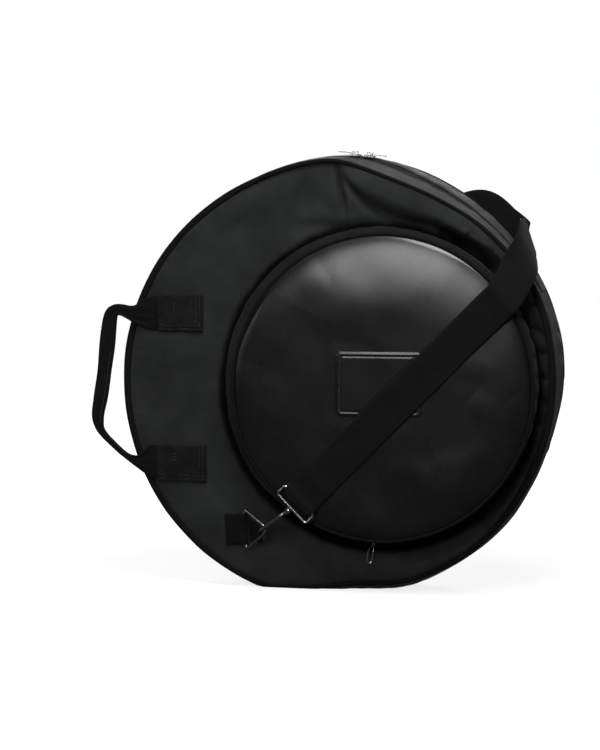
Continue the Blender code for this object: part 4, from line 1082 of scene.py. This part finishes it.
def make_handle_loop():
    """The handle's loop with its folded grip and the seam along it."""
    rows, length = smooth_route(np.array(HANDLE_ROUTE, float) * MM, 300)
    path, half, thick = rows[:, :2], rows[:, 2:3], rows[:, 3:4]
    heading = unit(np.gradient(path, axis=0))
    normal = np.stack([-heading[:, 1], heading[:, 0]], -1)
    share = np.linspace(0, length, len(path))
    one, two = (wave[None] for wave in squared(np.linspace(0, 2 * math.pi, 49)[:-1], 0.6))
    front = (two > 0) * np.abs(two)
    narrow = step(0.021 - half, 0, 0.008)
    waver = 0.12 * ripple(share, share * 0, 0.08, 85)[:, None]
    groove = 0.0024 * np.exp(-(((one - 0.18 - waver) / 0.13) ** 2))
    groove = groove + 0.0014 * np.exp(-(((one + 0.55 + waver) / 0.10) ** 2))
    ends = np.minimum(share, length - share)[:, None]
    pleats = front * 0.0014 * np.sin(one * 9) * window(ends, 0.014, 0.05, 0.008)
    half = half * (1 + 0.04 * ripple(share, share * 0, 0.05, 83)[:, None])
    depth = HANDLE_BACK + thick + two * thick - narrow * front * groove + pleats
    points = at(*(path[:, k : k + 1] + normal[:, k : k + 1] * one * half for k in (0, 1)), depth)
    uv = lattice(share, np.linspace(0, 0.052, 49))
    nodes = ["handle_loop"]
    loop = skin("handle_grip", points, uv, grip_cloth, "webbing", nodes, (False, True), True)
    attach(loop, "handle_loop_body")
    grip = slice(110, 200)
    seam = (path + normal * half * 0.62)[grip]
    route = at(seam[:, 0], seam[:, 1], HANDLE_BACK + 1.93 * thick[grip, 0])
    rows = stitches("handle_grip_stitches", [(route, *STITCH)])
    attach(rows, "handle_loop_body")


make_handle_end("upper", 0.084, 0.066)
make_handle_end("lower", -0.122, 0.070)
make_handle_loop()

# ---- Strap and hardware ----

# The strap crosses the rim at this angle, standing off it, and the way across it leans there
RIM_ANGLE = math.radians(36.5)
RIM_OUT = np.array((math.cos(RIM_ANGLE), 0.0, math.sin(RIM_ANGLE)))
RIM_TOP = at(0, 0, 0) + RIM_OUT * 0.317
LEAN = math.radians(18.5)
CREASE = np.array((math.sin(LEAN), 0.0, -math.cos(LEAN)))
BACK_BAR = np.array((-0.02391, 0.0584, 0.50302))


def strap_line(distance, depth):
    """A station on the strap's line across the pocket, by its distance from the line's middle."""
    along = STRAP_WAY * distance + STRAP_ACROSS * STRAP_OFFSET
    return at(*POCKET, depth) + along, STRAP_ACROSS


def half_turn(centre, towards, lift, across, radius=STRAP_TURN):
    """Stations half way round a bar, on the side that towards points to."""
    turns = np.linspace(0, math.pi, 7)
    rounds = [towards * radius * math.sin(t) - lift * radius * math.cos(t) for t in turns]
    return [(centre + reach, across) for reach in rounds]


def cup(along):
    """A slight hollow across the strap, which comes and goes along it."""
    return 0.0006 * np.sin(along / 0.05) * (along > 0.06)


def make_strap():
    """The strap in front of the zip and behind it."""
    bar, _ = strap_line(-STRAP_CHORD, POCKET_FACE + STRAP_THICKNESS + 2 * CLEARANCE + RING_WIRE)
    begin = LOOP_LENGTH - STRAP_CHORD
    doubled = STRAP_DEPTH + STRAP_THICKNESS + CLEARANCE
    stations = [strap_line(begin + along, STRAP_DEPTH) for along in (0.035, 0.020)]
    stations += half_turn(bar + STRAP_WAY * LOOP_LENGTH, -STRAP_WAY, -BEHIND, STRAP_ACROSS)
    stations += [strap_line(begin + along, doubled) for along in (0.009, 0.022, 0.0353)]
    for distance in (begin + 0.046, begin + 0.08, 0, 0.08, STRAP_CHORD - 0.026, STRAP_CHORD):
        stations.append(strap_line(distance, STRAP_DEPTH))
    for place, across in (
        ((0.2545, 0.1450, 0.0745), (0.80, 0.06, -0.60)),
        ((0.2600, 0.1710, 0.0480), (0.46, 0.30, -0.83)),
        ((0.2575, 0.1865, 0.0270), (0.35, 0.10, -0.93)),
    ):
        stations.append((at(*place), across))
    stations += [(RIM_TOP - BEHIND * depth, CREASE) for depth in (0.0195, 0.01515)]
    size = (STRAP_WIDTH, STRAP_THICKNESS, strap_cloth)
    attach(ribbon("strap_front", stations, *size, ["strap_front_run"], bend=cup), "front_cover")

    level = BACK_BAR[1] + STRAP_TURN
    ledge = RIM_TOP - RIM_OUT * 0.010
    entry = np.array((0.180, level, CENTRE_UP + BAG_RADIUS * 0.76))
    stations = [
        (RIM_TOP - BEHIND * 0.01485, CREASE),
        (RIM_TOP + BEHIND * 0.019, CREASE),
        (ledge + BEHIND * 0.050, CREASE + (DOWN - CREASE) * 0.33),
        ((ledge + BEHIND * level + entry) / 2, CREASE + (DOWN - CREASE) * 0.67),
        (entry, DOWN),
    ]
    for right, sunk in ((0.130, 0), (0.099, 0), (0.085, 0.006), (0.071, 0), (0.045, 0)):
        stations.append(((right, level - sunk, BACK_BAR[2]), DOWN))
    stations += half_turn(BACK_BAR + RIGHT * LOOP_LENGTH, -RIGHT, -BEHIND, DOWN)
    last = stations[-1][0]
    stations += [(last + RIGHT * 0.018, DOWN), (last + RIGHT * 0.035, DOWN)]
    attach(ribbon("strap_back", stations, *size, ["strap_back_run"]), "back_shell")


def make_tab(word, centre, flat, outward, bar, body):
    """A webbing tab folded round a ring's bar and sewn to the panel."""
    thickness = 0.0016
    radius = RING_WIRE + CLEARANCE + thickness / 2
    low = centre - outward * radius
    high = low + outward * 0.0019
    stations = [(low - flat * along, bar) for along in (0.028, 0.014, 0.006)]
    stations += half_turn(centre, flat, outward, bar, radius)
    stations += [(high - flat * along, bar) for along in (0.010, 0.014, 0.028)]
    nodes = [f"{word}_ring_tab"]
    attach(ribbon(f"{word}_tab", stations, 0.042, thickness, grip_cloth, nodes, 0.0012), body)
    base = low - outward * 0.0013
    ends = [(base + flat * along, bar) for along in (0.0045, 0.014, 0.0235)]
    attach(ribbon(f"{word}_tab_base", ends, 0.044, 0.0010, grip_cloth, pitch=0.0012), body)


def polish(nodes, look, smooth=False):
    """Gives CAD nodes whose shape is right their metal, and rounds their faces off."""
    for name in nodes:
        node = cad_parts[name]
        node.data.materials.clear()
        node.data.materials.append(look)
        weld = node.modifiers.new("weld", "WELD")
        weld.merge_threshold = 0.00001
        if smooth:
            rounder = node.modifiers.new("rounder", "SUBSURF")
            rounder.levels = rounder.render_levels = 2
        else:
            edges = node.modifiers.new("edges", "BEVEL")
            edges.width, edges.segments, edges.limit_method = 0.0004, 3, "ANGLE"


make_strap()
ring_turn = math.radians(4.0)
flat = np.array((math.cos(ring_turn), 0, math.sin(ring_turn)))
bar = np.array((-math.sin(ring_turn), 0.0, math.cos(ring_turn)))
make_tab("front", np.array((-0.1245, -0.0509, 0.0795)), flat, -BEHIND, bar, "front_cover")
make_tab("back", np.array((-0.1245, 0.0509, BACK_BAR[2])), RIGHT, BEHIND, -DOWN, "back_shell")
parts = ("ring", "hook", "gate", "strap_loop")
wires = [f"{side}_{part}" for side in ("front", "back") for part in parts]
blocks = ["main_slider_left", "main_slider_right", "pocket_slider", "strap_adjuster"]
polish(wires, dark_steel, smooth=True)
polish(blocks, dark_steel)
polish(["main_pull_left", "main_pull_right"], bright_steel)

# ---- Stage ----

LAMPS = {
    "lamp_above": ((0.34, -0.86, 1.72), (0, 0, 0.3), 0.8, 25),
    "lamp_front": ((-0.30, -2.76, 1.56), (0.07, -0.09, 0.45), 1.45, 45),
    "lamp_left": ((-1.75, -1.82, 0.80), (-0.13, -0.09, 0.36), 0.42, 2.1),
    "lamp_behind": ((-0.5, 2.3, 1.7), (0, 0, 0.3), 1.6, 46),
    "lamp_right": ((2.3, 0.8, 1.3), (0.1, 0, 0.3), 1.0, 11),
}
CAMERA = ((0.77077, -3.10103, 0.47042), (-0.05612, -0.01504, 0.289))
LENS = 112.4


def aim(name, data, place, target):
    """Links a lamp or a camera that looks at a target."""
    made = bpy.data.objects.new(name, data)
    bpy.context.scene.collection.objects.link(made)
    made.location = place
    made.rotation_mode = "QUATERNION"
    made.rotation_quaternion = (Vector(target) - Vector(place)).to_track_quat("-Z", "Y")
    return made


def make_floor():
    """A pale floor, which glows white for the camera and keeps the bag's shadow."""
    place = (0, 0, -0.0005)
    bpy.ops.mesh.primitive_circle_add(vertices=96, radius=6, fill_type="NGON", location=place)
    floor = bpy.context.object
    floor.name = "floor"
    look = bpy.data.materials.new("pale_floor")
    nodes = Nodes(look)
    nodes.tree.nodes.clear()
    ray = nodes.node("LightPath").outputs
    plain, seen = (0.42, 0.423, 0.426, 1), (0.22, 0.223, 0.227, 1)
    tone = nodes.mix(ray["Is Camera Ray"], plain, seen)
    tone = nodes.mix(ray["Is Glossy Ray"], tone, (0.07, 0.07, 0.071, 1))
    away = nodes.length(nodes.node("TexCoord").outputs["Object"])
    fade = nodes.remap(away, 0.45, 1.4, 0.82, 1.0)
    strength = nodes.math("MULTIPLY", fade, ray["Is Camera Ray"])
    glow = nodes.node("Emission", None, {"Strength": strength}).outputs[0]
    diffuse = nodes.node("BsdfDiffuse", None, {"Color": tone}).outputs[0]
    both = nodes.node("AddShader", None, {0: diffuse, 1: glow}).outputs[0]
    nodes.node("OutputMaterial", None, {"Surface": both})
    floor.data.materials.append(look)


def make_surround():
    """A world: white for the camera, dim for cloth, and bright behind and above for gloss."""
    world = bpy.data.worlds.new("surround")
    bpy.context.scene.world = world
    nodes = Nodes(world)
    nodes.tree.nodes.clear()
    ray = nodes.node("LightPath").outputs
    direct = nodes.math("MAXIMUM", ray["Is Camera Ray"], ray["Is Transmission Ray"])
    white = nodes.node("Background", None, {"Color": (1, 1, 1, 1)})
    soft = nodes.node("Background", None, {"Color": (0.97, 0.985, 1.0, 1), "Strength": 0.09})
    parts = nodes.node("SeparateXYZ", None, {0: nodes.node("TexCoord").outputs["Generated"]})
    glow = [
        nodes.remap(parts.outputs[axis], low, high, 0.03, most, interpolation_type="SMOOTHSTEP")
        for axis, low, high, most in (("Y", -0.1, 0.7, 0.35), ("Z", 0.35, 0.95, 0.8))
    ]
    shiny = nodes.node("Background", None, {"Strength": nodes.math("MAXIMUM", *glow)})
    inputs = {"Fac": ray["Is Glossy Ray"], 1: soft.outputs[0], 2: shiny.outputs[0]}
    lit = nodes.node("MixShader", None, inputs)
    inputs = {"Fac": direct, 1: lit.outputs[0], 2: white.outputs[0]}
    mixed = nodes.node("MixShader", None, inputs)
    nodes.node("OutputWorld", None, {"Surface": mixed.outputs[0]})


def make_lamps_and_camera():
    """Soft round lamps, and the camera at the photograph's angle."""
    for name, (place, target, size, power) in LAMPS.items():
        data = bpy.data.lights.new(name, "AREA")
        data.shape, data.size, data.energy = "DISK", size, power
        aim(name, data, place, target)
    data = bpy.data.cameras.new("camera")
    data.lens = LENS
    bpy.context.scene.camera = aim("camera", data, *CAMERA)


make_floor()
make_surround()
make_lamps_and_camera()
bpy.context.scene.view_settings.view_transform = "Standard"
